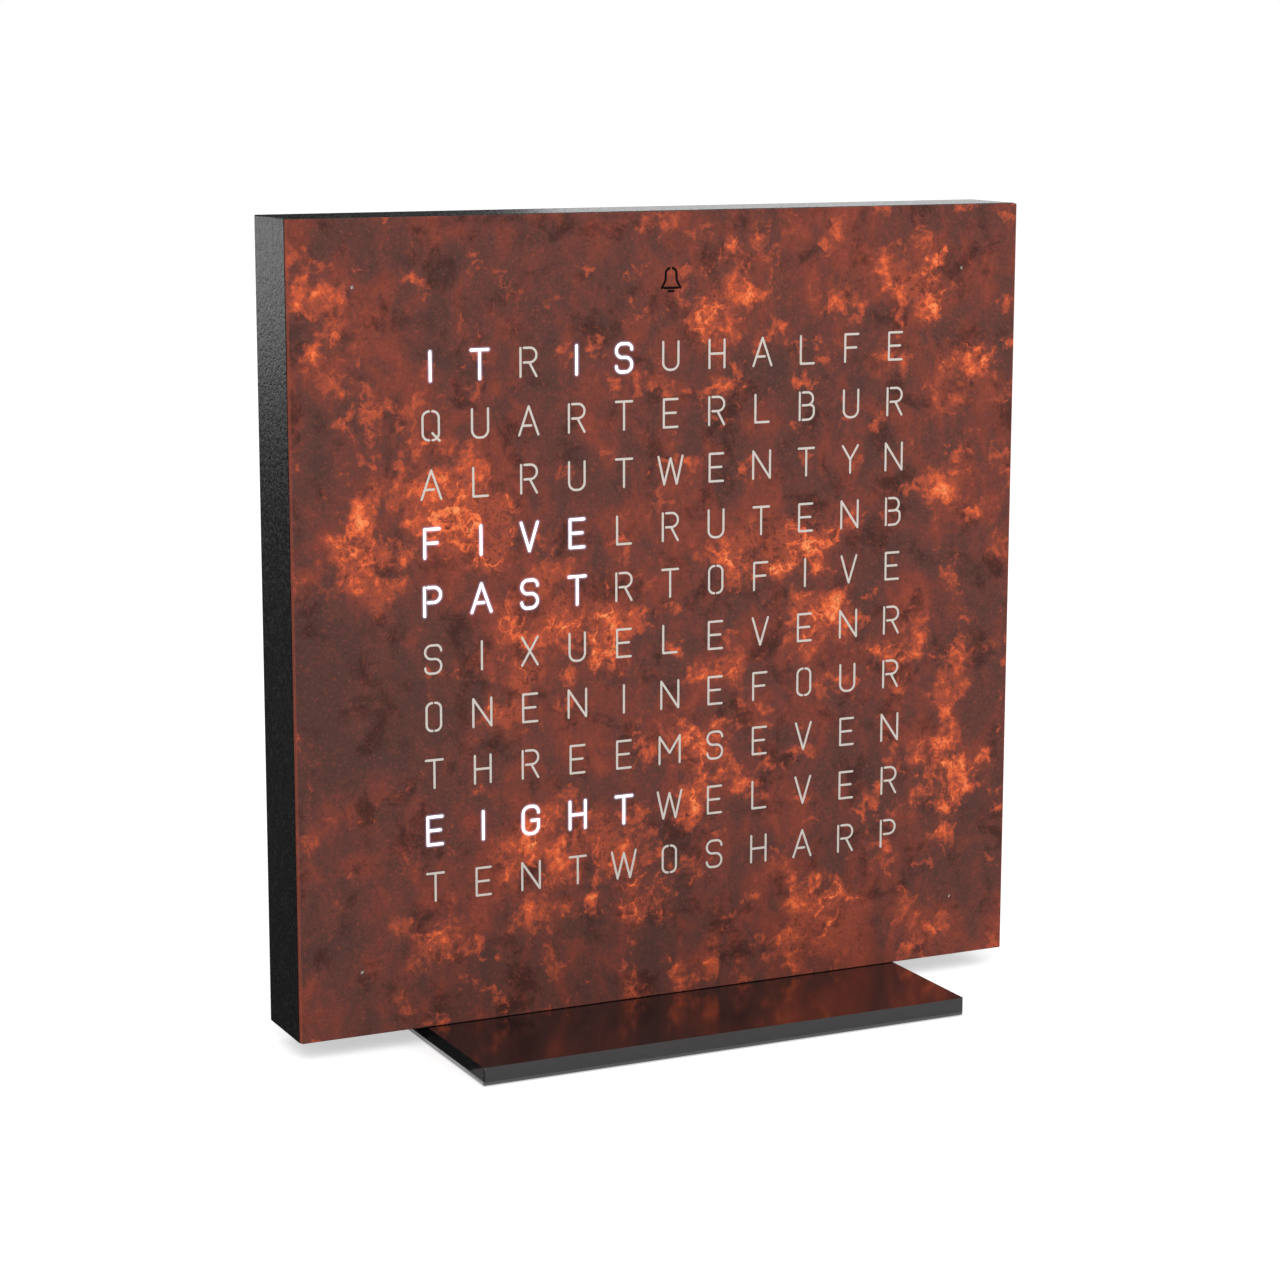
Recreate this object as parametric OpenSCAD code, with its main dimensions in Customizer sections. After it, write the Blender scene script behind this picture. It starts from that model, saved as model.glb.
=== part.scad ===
// Word clock: a thin square letter panel standing on a flat foot plate.
// Origin: middle of the footprint, level with the soles of the foot pads.
// +Z is up, +X is to the right and the lettered face looks along -Y.

/* [Panel] */
// Side of the square panel
panel_side = 135; // [132:1:150]
// Thickness of the panel, front to back
panel_t = 15; // [14.5:0.5:20]
// Rounding of the panel's four corners, seen from the front
corner_r = 0.2; // [0.1:0.1:2]

/* [Front cover] */
// Thickness of the steel front cover
cover_t = 1; // [0.6:0.1:1.2]
// How far the cover's edges stay inside the housing's edges
cover_reveal = 0.1; // [0.1:0.05:0.5]
// Thickness of the opal backing bonded behind the cover
backing_t = 0.4; // [0.2:0.1:0.5]
// Diameter of the four minute windows
window_d = 0.7; // [0.4:0.1:1.5]
// Distance of a minute window from the panel's two nearest edges
window_edge = 11; // [10:0.5:12]

/* [Letter field] */
// Number of letter columns
columns = 11; // [8:1:11]
// Number of letter rows
rows = 10; // [8:1:10]
// Distance between letter columns
column_pitch = 8.67; // [7.5:0.01:8.8]
// Distance between letter rows
row_pitch = 9.64; // [8.5:0.01:9.7]
// Thickness of the walls between the letter cells
cell_wall = 1; // [0.6:0.1:1.4]
// Height of the alarm sign above the top row of letters
sign_rise = 12.8; // [12.4:0.1:13.2]
// Inner diameter of the light well behind the alarm sign
sign_well_d = 5; // [4:0.1:5.2]
// Inner diameter of the light well behind a minute window
window_well_d = 3; // [2:0.1:3.6]
// Diameter of the light grid's locating pegs
peg_d = 1.8; // [1.2:0.1:2.2]
// Distance between the upper and lower locating pegs
peg_spread = 60; // [40:1:70]
// Thickness of the diffuser sheet
diffuser_t = 0.8; // [0.5:0.1:1]

/* [Housing] */
// Thickness of the housing's four outer walls
wall = 2; // [1.4:0.1:2.4]
// Width of the lip that the cover rests on
lip_w = 1.5; // [1:0.1:2]
// Thickness of the lip, front to back
lip_t = 0.8; // [0.7:0.1:1.2]
// Step from the lip's face back to the posts and magnets
post_step = 0.6; // [0.6:0.05:0.7]
// Diameter of the corner posts that take the rear cover's screws
post_d = 6; // [4.6:0.1:6.4]
// Distance from a corner post's centre to the panel's two nearest edges
post_inset = 6; // [5.4:0.1:6.4]
// Thickness of the ribs that join the posts to the walls
rib_t = 1.4; // [0.8:0.1:1.8]
// Width of the ledges that support the rear cover
ledge_w = 14; // [8:1:20]
// How far a ledge stands in from the wall
ledge_depth = 1.5; // [1:0.1:2]
// Height of a ledge, front to back
ledge_h = 3; // [2:0.1:4]

/* [Magnets] */
// Diameter of a cover magnet
magnet_d = 6; // [4:0.5:6.5]
// Thickness of a cover magnet
magnet_t = 2; // [1:0.1:2.2]
// Plastic left round a magnet
magnet_wall = 1.5; // [0.8:0.1:1.8]
// Distance between the upper and lower magnets
magnet_spread = 76; // [60:1:80]
// Plastic left between a magnet and the screw behind it
magnet_floor = 0.8; // [0.5:0.1:1]

/* [Rear cover] */
// Thickness of the rear cover
rear_cover_t = 1.5; // [1.3:0.1:2]
// Height of the standoffs that carry the control board
standoff_h = 3.4; // [3.2:0.1:4]
// Diameter of the standoffs
standoff_d = 4.4; // [3.6:0.1:5]
// Diameter of a sound hole
sound_hole_d = 1.2; // [0.8:0.1:1.5]
// Radius of the ring of sound holes
sound_ring_r = 2.6; // [2:0.1:4]
// Number of sound holes in the ring
sound_holes = 6; // [4:1:8]

/* [Boards] */
// Thickness of the light board
light_board_t = 1; // [0.8:0.1:1.2]
// Thickness of the control board
control_board_t = 1; // [0.8:0.1:1.2]
// Room between the light board and the control board
board_gap = 1.5; // [1.4:0.1:2]
// Width of the control board
control_board_w = 84; // [82:1:100]
// Height of the control board
control_board_h = 38; // [37:1:44]
// Height of the control board's lower edge above the panel's lower edge
control_board_rise = 12; // [11:0.5:20]
// Distance of the control board's screws from its edges
board_screw_inset = 3.5; // [3:0.1:4]
// Length of one light-emitting diode
diode_l = 1.6; // [1:0.1:2]
// Width of one light-emitting diode
diode_w = 0.8; // [0.5:0.1:1.2]
// Height of one light-emitting diode
diode_h = 0.7; // [0.4:0.1:1]
// Distance between the two driver chips behind the light board
driver_spread = 48; // [30:1:60]
// Height of the driver chips above the panel's middle
driver_rise = 4; // [0:1:20]
// Length of the copper touch strip under the panel's top wall
strip_l = 60; // [40:1:90]
// Thickness of the copper touch strip
strip_t = 0.2; // [0.1:0.05:0.3]
// Width of the touch strip's flat tail
tail_w = 3; // [2:0.5:5]

/* [Buttons] */
// Diameter of a button cap
cap_d = 6; // [5:0.1:6.4]
// How far a cap stands out of the rear cover
cap_proud = 0.6; // [0.5:0.1:1]
// How far a button travels when it is pressed
button_travel = 0.4; // [0.2:0.05:0.45]
// Distance between neighbouring buttons
button_pitch = 18; // [14:0.5:19]
// Side of a switch body
switch_side = 4.6; // [4:0.1:5]
// Height of a switch body
switch_h = 1.6; // [1.4:0.1:1.7]
// Diameter of a switch plunger
plunger_d = 2; // [1.4:0.1:2.4]
// How far a switch plunger stands out of its switch
plunger_proud = 0.5; // [0.45:0.05:0.6]

/* [Power socket] */
// Outer width of the socket's metal shell
socket_w = 8.94; // [8:0.01:10]
// Outer height of the socket's metal shell
socket_h = 3.16; // [3:0.01:4]
// Depth of the socket's metal shell
socket_depth = 6.5; // [5.5:0.1:6.8]
// Wall of the socket's metal shell
socket_wall = 0.3; // [0.2:0.05:0.4]
// Height of the socket's centre above the panel's lower edge
socket_rise = 19; // [17:0.5:20]

/* [Screws] */
// Diameter of the small screws, taken at their pilot holes
screw_d = 2; // [1.6:0.1:2.2]
// Diameter of the small screws' heads
screw_head_d = 3.6; // [3:0.1:3.8]
// Height of the small screws' heads
screw_head_h = 0.9; // [0.7:0.1:1]
// Depth of the pilot holes in the corner posts
post_pilot_depth = 6; // [4:0.5:8]
// Diameter of the foot screws
foot_screw_d = 2.5; // [2:0.1:2.6]
// Diameter of the foot screws' countersunk heads
foot_head_d = 5; // [4.4:0.1:6]
// Height of the foot screws' countersunk heads
foot_head_h = 1.5; // [1:0.1:1.6]
// Distance between the two foot screws
foot_screw_spread = 60; // [40:1:64]
// Outer diameter of the threaded inserts that take the foot screws
insert_d = 3.6; // [3.4:0.1:3.8]
// Length of the threaded inserts
insert_l = 4; // [3:0.1:4.4]

/* [Foot] */
// Width of the foot plate
foot_w = 90; // [80:1:120]
// How far the foot plate reaches in front of the panel, and behind it
foot_reach = 24; // [20:1:35]
// Thickness of the foot plate
foot_t = 3; // [2.6:0.1:4]
// Rounding of the foot plate's corners
foot_corner_r = 0.3; // [0.2:0.1:4]
// Diameter of a foot pad
pad_d = 8; // [6:0.5:10]
// Thickness of a foot pad
pad_t = 1.2; // [0.8:0.1:1.6]
// How far a foot pad stands out under the foot plate
pad_proud = 0.3; // [0.2:0.1:0.5]
// Distance of a foot pad's centre from the foot plate's edges
pad_inset = 7; // [6:0.5:9]

/* [Fits] */
// Gap round a sheet, board or cover that lies inside the housing
sheet_gap = 0.25; // [0.15:0.05:0.4]
// Gap round a screw, peg or pad in its clearance hole
hole_gap = 0.15; // [0.1:0.05:0.3]
// Gap round a button cap in its hole
cap_gap = 0.15; // [0.1:0.05:0.25]
// Gap round a piece that passes through a board
pass_gap = 0.3; // [0.2:0.05:0.5]

/* [Hidden] */
$fn = 48;

// Colours
rust = "#7a4030";
satin_black = "#242526";
opal = "#e8e4da";
white_plastic = "#f1f1ee";
steel = "#b9bcbf";
copper = "#c27a4a";
board_green = "#1f4a35";
chip_black = "#18191a";
rubber_grey = "#2b2b2c";

// Heights, from the soles of the foot pads upwards
foot_bottom = pad_proud;
foot_top = foot_bottom + foot_t;
panel_bottom = foot_top;
panel_mid = panel_bottom + panel_side / 2;

// Planes across the panel, from the front backwards
front = -panel_t / 2;
cover_back = front + cover_t;
backing_back = cover_back + backing_t;
post_front = cover_back + post_step;
lip_back = cover_back + lip_t;
diffuser_back = lip_back + diffuser_t;
back = panel_t / 2;
rear_inner = back - rear_cover_t;
control_back = rear_inner - standoff_h;
control_front = control_back - control_board_t;
light_back = control_front - board_gap;
light_front = light_back - light_board_t;
magnet_back = post_front + magnet_t;

// Widths inside the panel
inner_side = panel_side - 2 * wall;
lip_opening = inner_side - 2 * lip_w;
sheet_side = inner_side - 2 * sheet_gap;
cover_side = panel_side - 2 * cover_reveal;
backing_side = lip_opening - 2 * sheet_gap;
post_at = panel_side / 2 - post_inset;
window_at = panel_side / 2 - window_edge;
magnet_boss_d = magnet_d + 2 * magnet_wall;
boss_gap = 0.5;
magnet_at = inner_side / 2 - magnet_boss_d / 2 - boss_gap;
corners = [[-1, -1], [1, -1], [-1, 1], [1, 1]];

// Light grid
field_w = columns * column_pitch + cell_wall;
field_h = rows * row_pitch + cell_wall;
sign_at = (rows - 1) / 2 * row_pitch + sign_rise;
well_wall = 1;
arm_t = 1.6;
peg_out = 1.2;
peg_wall = 1.1;
peg_at = field_w / 2 + peg_out;
peg_ear_d = peg_d + 2 * peg_wall;

// Rear of the panel, measured from the panel's middle
control_mid = -panel_side / 2 + control_board_rise + control_board_h / 2;
control_screw_x = control_board_w / 2 - board_screw_inset;
control_screw_z = control_board_h / 2 - board_screw_inset;
socket_mid = -panel_side / 2 + socket_rise;
button_drop = 9;
button_mid = control_mid + control_board_h / 2 - button_drop;
buttons = 4;
component_drop = 6.5;
component_mid = control_mid - component_drop;
component_inset = 17;
cell_x_mid = -control_board_w / 2 + component_inset;
buzzer_x_mid = control_board_w / 2 - component_inset;
chip_mid = control_mid;
chip_side = 7;
strip_level = inner_side / 2;
connector_rise = 5;
connector_w = 3.6;
connector_leg_l = 1.6;
connector_leg_t = 0.6;

// Buttons, along the depth of the panel
flange_t = 0.7;
flange_w = 0.8;
flange_gap = 0.1;
flange_d = cap_d + 2 * flange_w;
flange_back = rear_inner - flange_gap;
plunger_root = 0.9;
plunger_back = control_back + switch_h + plunger_proud;
plunger_sunk = switch_h - plunger_root;
plunger_front = control_back + plunger_sunk;
dish_depth = 0.3;

// Foot
foot_depth = panel_t + 2 * foot_reach;
foot_boss_wall = 0.8;
foot_boss_d = insert_d + 2 * foot_boss_wall;
foot_boss_y = (light_back + rear_inner) / 2;
insert_room = 1;
foot_boss_h = insert_l + insert_room;
foot_tip_gap = 0.4;
foot_screw_end = panel_bottom + wall + insert_l - foot_tip_gap;

// How far the small screws' tips stay from the ends of their pilot holes
magnet_tip_gap = 0.2;
post_tip_gap = 1;
standoff_tip_gap = 0.4;
// Plastic left between a standoff's pilot hole and the rear cover's inner face
pilot_floor = 0.2;

function column_x(column) = (column - (columns - 1) / 2) * column_pitch;
function row_z(row) = ((rows - 1) / 2 - row) * row_pitch;
function button_x(index) = (index - (buttons - 1) / 2) * button_pitch;

// Stands a flat outline up as a layer between two planes across the panel
module layer(y_front, y_back) {
    translate([0, y_back, panel_mid])
        rotate([90, 0, 0])
            linear_extrude(height = y_back - y_front)
                children();
}

// Round bar or hole along the panel's depth, placed from the panel's middle
module bar(diameter, y_front, y_back, x = 0, z = 0) {
    translate([x, y_back, panel_mid + z])
        rotate([90, 0, 0])
            cylinder(d = diameter, h = y_back - y_front);
}

module rounded_square(width, height, radius) {
    square([width - 2 * radius, height], center = true);
    square([width, height - 2 * radius], center = true);
    for (corner = corners)
        translate([corner[0] * (width / 2 - radius), corner[1] * (height / 2 - radius)])
            circle(r = radius);
}

// Slot outline with fully round ends
module oval(width, height) {
    square([width - height, height], center = true);
    for (side = [-1, 1])
        translate([side * (width - height) / 2, 0])
            circle(d = height);
}

// Straight web from one point to another
module web(from, to, thickness) {
    reach = to - from;
    translate(from)
        rotate(atan2(reach[1], reach[0]))
            translate([0, -thickness / 2])
                square([norm(reach), thickness]);
}

// Outline of the four corner posts with their ribs, grown for what has to clear them
module post_outlines(grow = 0) {
    reach = inner_side / 2 - post_at + wall / 2;
    for (corner = corners)
        translate([corner[0] * post_at, corner[1] * post_at]) {
            circle(d = post_d + 2 * grow);
            web([0, 0], [corner[0] * reach, 0], rib_t + 2 * grow);
            web([0, 0], [0, corner[1] * reach], rib_t + 2 * grow);
        }
}

// What a sheet leaves free at the posts: the posts, their ribs and the corners behind them
module post_notches() {
    post_outlines(sheet_gap);
    for (corner = corners)
        translate([corner[0] * panel_side / 2, corner[1] * panel_side / 2])
            square(2 * post_inset, center = true);
}

// Outline of the four magnet bosses, joined to the side walls
module magnet_boss_outlines(grow = 0) {
    reach = inner_side / 2 - magnet_at + wall / 2;
    for (corner = corners)
        translate([corner[0] * magnet_at, corner[1] * magnet_spread / 2]) {
            circle(d = magnet_boss_d + 2 * grow);
            web([0, 0], [corner[0] * reach, 0], magnet_boss_d + 2 * grow);
        }
}

// Small pan-head screw along the depth; its head lies behind the seat when dir is 1
module small_screw(seat, tip, dir) {
    if (dir > 0) {
        bar(screw_head_d, seat, seat + screw_head_h);
        bar(screw_d, tip, seat);
    } else {
        bar(screw_head_d, seat - screw_head_h, seat);
        bar(screw_d, seat, tip);
    }
}

// Flat chip with a row of legs on two or four sides, lying on a board's rear face
module chip(width, height, thickness, legs, pitch, sides, seat) {
    leg_w = 0.3;
    leg_l = 0.8;
    leg_t = 0.2;
    leg_root = 0.4;
    stand = 0.1;
    layer(seat + stand, seat + stand + thickness)
        square([width, height], center = true);
    layer(seat, seat + leg_t)
        for (turn = [0 : sides - 1])
            rotate(turn * 360 / sides)
                for (leg = [0 : legs - 1])
                    translate([width / 2 + (leg_l - leg_root) / 2, (leg - (legs - 1) / 2) * pitch])
                        square([leg_l + leg_root, leg_w], center = true);
}

// ---------- Front ----------

// Steel sheet with four round minute windows; its letters are too fine for the solid
module front_cover() {
    color(rust)
        layer(front, cover_back)
            difference() {
                rounded_square(cover_side, cover_side, corner_r);
                for (corner = corners)
                    translate([corner[0] * window_at, corner[1] * window_at])
                        circle(d = window_d);
            }
}

// Opal sheet bonded to the cover; it drops into the housing's lip and centres the cover
module cover_backing() {
    color(opal)
        layer(cover_back, backing_back)
            square(backing_side, center = true);
}

// Sheet held behind the lip, notched round the posts and magnet bosses
module diffuser_sheet() {
    color(white_plastic)
        layer(lip_back, diffuser_back)
            difference() {
                square(sheet_side, center = true);
                post_notches();
                magnet_boss_outlines(sheet_gap);
            }
}

module cover_magnets() {
    color(steel)
        for (corner = corners)
            bar(magnet_d, post_front, magnet_back, corner[0] * magnet_at, corner[1] * magnet_spread / 2);
}

// Baffle with one light well per letter, one per minute window and one for the alarm sign
module light_grid() {
    field_corner = [field_w / 2 - cell_wall, field_h / 2 - cell_wall];
    color(satin_black)
        union() {
            layer(diffuser_back, light_front)
                difference() {
                    union() {
                        square([field_w, field_h], center = true);
                        for (corner = corners) {
                            well = [corner[0] * window_at, corner[1] * window_at];
                            web([corner[0] * field_corner[0], corner[1] * field_corner[1]], well, arm_t);
                            translate(well)
                                circle(d = window_well_d + 2 * well_wall);
                            translate([corner[0] * peg_at, corner[1] * peg_spread / 2])
                                circle(d = peg_ear_d);
                        }
                        web([0, field_corner[1]], [0, sign_at], arm_t);
                        translate([0, sign_at])
                            circle(d = sign_well_d + 2 * well_wall);
                    }
                    for (column = [0 : columns - 1], row = [0 : rows - 1])
                        translate([column_x(column), row_z(row)])
                            square([column_pitch - cell_wall, row_pitch - cell_wall], center = true);
                    for (corner = corners)
                        translate([corner[0] * window_at, corner[1] * window_at])
                            circle(d = window_well_d);
                    translate([0, sign_at])
                        circle(d = sign_well_d);
                }
            for (corner = corners)
                bar(peg_d, light_front, light_back, corner[0] * peg_at, corner[1] * peg_spread / 2);
        }
}

// ---------- Light board ----------

module light_board() {
    color(white_plastic)
        difference() {
            layer(light_front, light_back)
                difference() {
                    square(sheet_side, center = true);
                    post_notches();
                }
            for (corner = corners) {
                bar(screw_d + 2 * hole_gap, light_front, light_back,
                    corner[0] * magnet_at, corner[1] * magnet_spread / 2);
                bar(peg_d + 2 * hole_gap, light_front, light_back,
                    corner[0] * peg_at, corner[1] * peg_spread / 2);
            }
        }
}

// One diode in each well of the light grid
module light_diodes() {
    color(opal)
        layer(light_front - diode_h, light_front) {
            for (column = [0 : columns - 1], row = [0 : rows - 1])
                translate([column_x(column), row_z(row)])
                    square([diode_l, diode_w], center = true);
            for (corner = corners)
                translate([corner[0] * window_at, corner[1] * window_at])
                    square([diode_l, diode_w], center = true);
            translate([0, sign_at])
                square([diode_l, diode_w], center = true);
        }
}

module light_board_screws() {
    color(steel)
        for (corner = corners)
            translate([corner[0] * magnet_at, 0, corner[1] * magnet_spread / 2])
                small_screw(light_back, magnet_back + magnet_floor + magnet_tip_gap, 1);
}

module diode_driver_chips() {
    driver_w = 6.4;
    driver_h = 4.4;
    driver_t = 0.8;
    leg_pitch = 0.5;
    legs = 8;
    color(chip_black)
        for (side = [-1, 1])
            translate([side * driver_spread / 2, 0, driver_rise])
                chip(driver_w, driver_h, driver_t, legs, leg_pitch, 2, light_back);
}

// Stacking connector that joins the two boards and holds them apart
module board_connector() {
    length = 16;
    leg_out = 0.6;
    leg_inset = 0.5;
    color(chip_black)
        translate([0, 0, button_mid + connector_rise])
            union() {
                layer(light_back, control_front)
                    square([length, connector_w], center = true);
                layer(light_back, light_back + connector_leg_t)
                    for (side = [-1, 1])
                        translate([side * (length / 2 + leg_out), 0])
                            square([connector_leg_l, connector_w - 2 * leg_inset], center = true);
            }
}

// Copper strip inside the top wall that feels a touch on the panel's top
module touch_strip() {
    rear_gap = 0.4;
    color(copper)
        layer(light_back, rear_inner - rear_gap)
            translate([0, strip_level - strip_t / 2])
                square([strip_l, strip_t], center = true);
}

// Flat tail from the touch strip down the light board to the board connector
module touch_tail() {
    connector_gap = 0.2;
    tail_low = button_mid + connector_rise + connector_w / 2 + connector_gap;
    color(copper)
        layer(light_back, light_back + strip_t)
            translate([-tail_w / 2, tail_low])
                square([tail_w, strip_level - strip_t - tail_low]);
}

// ---------- Housing ----------

module foot_boss(x) {
    gusset_w = 3;
    gusset_root = 0.2;
    gusset_drop = 0.4;
    translate([x, foot_boss_y, panel_bottom + wall / 2])
        cylinder(d = foot_boss_d, h = foot_boss_h + wall / 2);
    for (side = [-1, 1])
        translate([x, foot_boss_y + rib_t / 2, panel_bottom + wall - gusset_root])
            mirror([side < 0 ? 1 : 0, 0, 0])
                rotate([90, 0, 0])
                    linear_extrude(height = rib_t)
                        polygon([[0, 0], [foot_boss_d / 2 + gusset_w, 0], [0, foot_boss_h - gusset_drop]]);
}

// Moulded frame: four walls, a front lip, corner posts, magnet bosses, ledges and foot bosses
module housing_frame() {
    ledge_root = 0.5;
    ledge_shift = 40;
    ledge_at = inner_side / 2 - (ledge_depth - ledge_root) / 2;
    color(satin_black)
        difference() {
            union() {
                layer(cover_back, lip_back)
                    difference() {
                        rounded_square(panel_side, panel_side, corner_r);
                        square(lip_opening, center = true);
                    }
                layer(lip_back, back)
                    difference() {
                        rounded_square(panel_side, panel_side, corner_r);
                        square(inner_side, center = true);
                    }
                layer(post_front, rear_inner)
                    post_outlines();
                layer(post_front, light_front)
                    magnet_boss_outlines();
                layer(rear_inner - ledge_h, rear_inner)
                    for (turn = [0 : 3])
                        rotate(turn * 90)
                            translate([ledge_at, turn % 2 == 0 ? 0 : ledge_shift])
                                square([ledge_depth + ledge_root, ledge_w], center = true);
                for (side = [-1, 1])
                    foot_boss(side * foot_screw_spread / 2);
            }
            for (corner = corners) {
                bar(magnet_d, post_front, magnet_back, corner[0] * magnet_at, corner[1] * magnet_spread / 2);
                bar(screw_d, magnet_back + magnet_floor, light_front,
                    corner[0] * magnet_at, corner[1] * magnet_spread / 2);
                bar(screw_d, rear_inner - post_pilot_depth, rear_inner,
                    corner[0] * post_at, corner[1] * post_at);
            }
            for (side = [-1, 1])
                translate([side * foot_screw_spread / 2, foot_boss_y, panel_bottom]) {
                    cylinder(d = foot_screw_d + 2 * hole_gap, h = wall);
                    translate([0, 0, wall])
                        cylinder(d = insert_d, h = foot_boss_h);
                }
        }
}

// Moulded back: standoffs, button holes, socket slot, sound holes and sunk screw seats
module rear_cover() {
    color(satin_black)
        difference() {
            union() {
                layer(rear_inner, back)
                    square(sheet_side, center = true);
                for (corner = corners)
                    bar(standoff_d, control_back, rear_inner,
                        corner[0] * control_screw_x, control_mid + corner[1] * control_screw_z);
            }
            layer(rear_inner, back)
                translate([0, socket_mid])
                    oval(socket_w + 2 * pass_gap, socket_h + 2 * pass_gap);
            for (index = [0 : buttons - 1])
                bar(cap_d + 2 * cap_gap, rear_inner, back, button_x(index), button_mid);
            for (corner = corners) {
                bar(screw_d + 2 * hole_gap, rear_inner, back, corner[0] * post_at, corner[1] * post_at);
                bar(screw_head_d + 2 * hole_gap, back - screw_head_h, back,
                    corner[0] * post_at, corner[1] * post_at);
                bar(screw_d, control_back, rear_inner - pilot_floor,
                    corner[0] * control_screw_x, control_mid + corner[1] * control_screw_z);
            }
            bar(sound_hole_d, rear_inner, back, buzzer_x_mid, component_mid);
            for (index = [0 : sound_holes - 1])
                bar(sound_hole_d, rear_inner, back,
                    buzzer_x_mid + sound_ring_r * cos(index * 360 / sound_holes),
                    component_mid + sound_ring_r * sin(index * 360 / sound_holes));
        }
}

module rear_cover_screws() {
    color(steel)
        for (corner = corners)
            translate([corner[0] * post_at, 0, corner[1] * post_at])
                small_screw(back - screw_head_h, rear_inner - post_pilot_depth + post_tip_gap, 1);
}

// ---------- Control board and what stands on it ----------

module control_board() {
    color(board_green)
        difference() {
            layer(control_front, control_back)
                difference() {
                    translate([0, control_mid])
                        rounded_square(control_board_w, control_board_h, 1);
                    translate([0, socket_mid])
                        oval(socket_w + 2 * hole_gap, socket_h + 2 * hole_gap);
                }
            for (corner = corners)
                bar(screw_d + 2 * hole_gap, control_front, control_back,
                    corner[0] * control_screw_x, control_mid + corner[1] * control_screw_z);
        }
}

module control_board_screws() {
    color(steel)
        for (corner = corners)
            translate([corner[0] * control_screw_x, 0, control_mid + corner[1] * control_screw_z])
                small_screw(control_front, rear_inner - pilot_floor - standoff_tip_gap, -1);
}

module processor_chip() {
    chip_t = 0.9;
    leg_pitch = 0.8;
    legs = 8;
    color(chip_black)
        translate([0, 0, chip_mid])
            chip(chip_side, chip_side, chip_t, legs, leg_pitch, 4, control_back);
}

// Oval metal can of the clock's crystal, standing on a wider rim
module clock_crystal() {
    can_w = 8;
    can_h = 3.2;
    rim = 0.5;
    rim_t = 0.4;
    height = 2.2;
    chip_gap = 3;
    color(steel)
        translate([chip_side / 2 + chip_gap + can_w / 2 + rim, 0, chip_mid - 1])
            union() {
                layer(control_back, control_back + rim_t)
                    oval(can_w + 2 * rim, can_h + 2 * rim);
                layer(control_back + rim_t, control_back + height)
                    oval(can_w, can_h);
            }
}

// Column of capacitors beside the processor chip, each a block on two end terminals
module supply_capacitors() {
    length = 3.5;
    width = 2.8;
    height = 1.9;
    stand = 0.1;
    terminal = 0.3;
    terminal_t = 0.6;
    count = 3;
    pitch = 3.8;
    chip_gap = 3.2;
    color("#b98a3c")
        for (index = [0 : count - 1])
            translate([-chip_side / 2 - chip_gap - length / 2, 0, chip_mid + (index - 1) * pitch - 1])
                union() {
                    layer(control_back + stand, control_back + height)
                        square([length, width], center = true);
                    layer(control_back, control_back + terminal_t)
                        square([length + 2 * terminal, width - 1], center = true);
                }
}

cell_d = 12.5;
cell_t = 2;
holder_floor = 0.5;
cell_front = control_back + holder_floor;
cell_back = cell_front + cell_t;

// Tray with a round wall that is open on one side, and a clip across the top
module coin_cell_holder() {
    tray_w = 16;
    tray_h = 14.6;
    wall_d = 14.6;
    open_w = 9;
    clip_w = 3;
    clip_t = 0.3;
    color(chip_black)
        translate([cell_x_mid, 0, component_mid])
            union() {
                layer(control_back, cell_front)
                    rounded_square(tray_w, tray_h, 1);
                layer(cell_front, cell_back)
                    difference() {
                        union() {
                            circle(d = wall_d);
                            square([tray_w, clip_w], center = true);
                        }
                        circle(d = cell_d + 2 * hole_gap);
                        translate([0, -wall_d / 2])
                            square([open_w, wall_d], center = true);
                    }
                layer(cell_back, cell_back + clip_t)
                    square([tray_w, clip_w], center = true);
            }
}

module coin_cell() {
    rim = 0.3;
    step_w = 1;
    color(steel)
        union() {
            bar(cell_d - 2 * step_w, cell_front, cell_front + rim, cell_x_mid, component_mid);
            bar(cell_d, cell_front + rim, cell_back, cell_x_mid, component_mid);
        }
}

module alarm_buzzer() {
    buzzer_d = 12;
    buzzer_h = 2.4;
    port_d = 1.8;
    port_floor = 1.2;
    color(chip_black)
        difference() {
            bar(buzzer_d, control_back, control_back + buzzer_h, buzzer_x_mid, component_mid);
            bar(port_d, control_back + port_floor, control_back + buzzer_h, buzzer_x_mid, component_mid);
        }
}

module switch_bodies() {
    corner = 0.4;
    leg_w = 0.7;
    leg_t = 0.3;
    leg_out = 0.8;
    leg_spread = 3;
    floor_gap = 0.1;
    color(steel)
        for (index = [0 : buttons - 1])
            difference() {
                translate([button_x(index), 0, button_mid])
                    union() {
                        layer(control_back, control_back + switch_h)
                            rounded_square(switch_side, switch_side, corner);
                        layer(control_back, control_back + leg_t)
                            for (side = [-1, 1])
                                translate([0, side * leg_spread / 2])
                                    square([switch_side + 2 * leg_out, leg_w], center = true);
                    }
                bar(plunger_d + 2 * cap_gap, plunger_front - button_travel - floor_gap,
                    control_back + switch_h, button_x(index), button_mid);
            }
}

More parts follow.
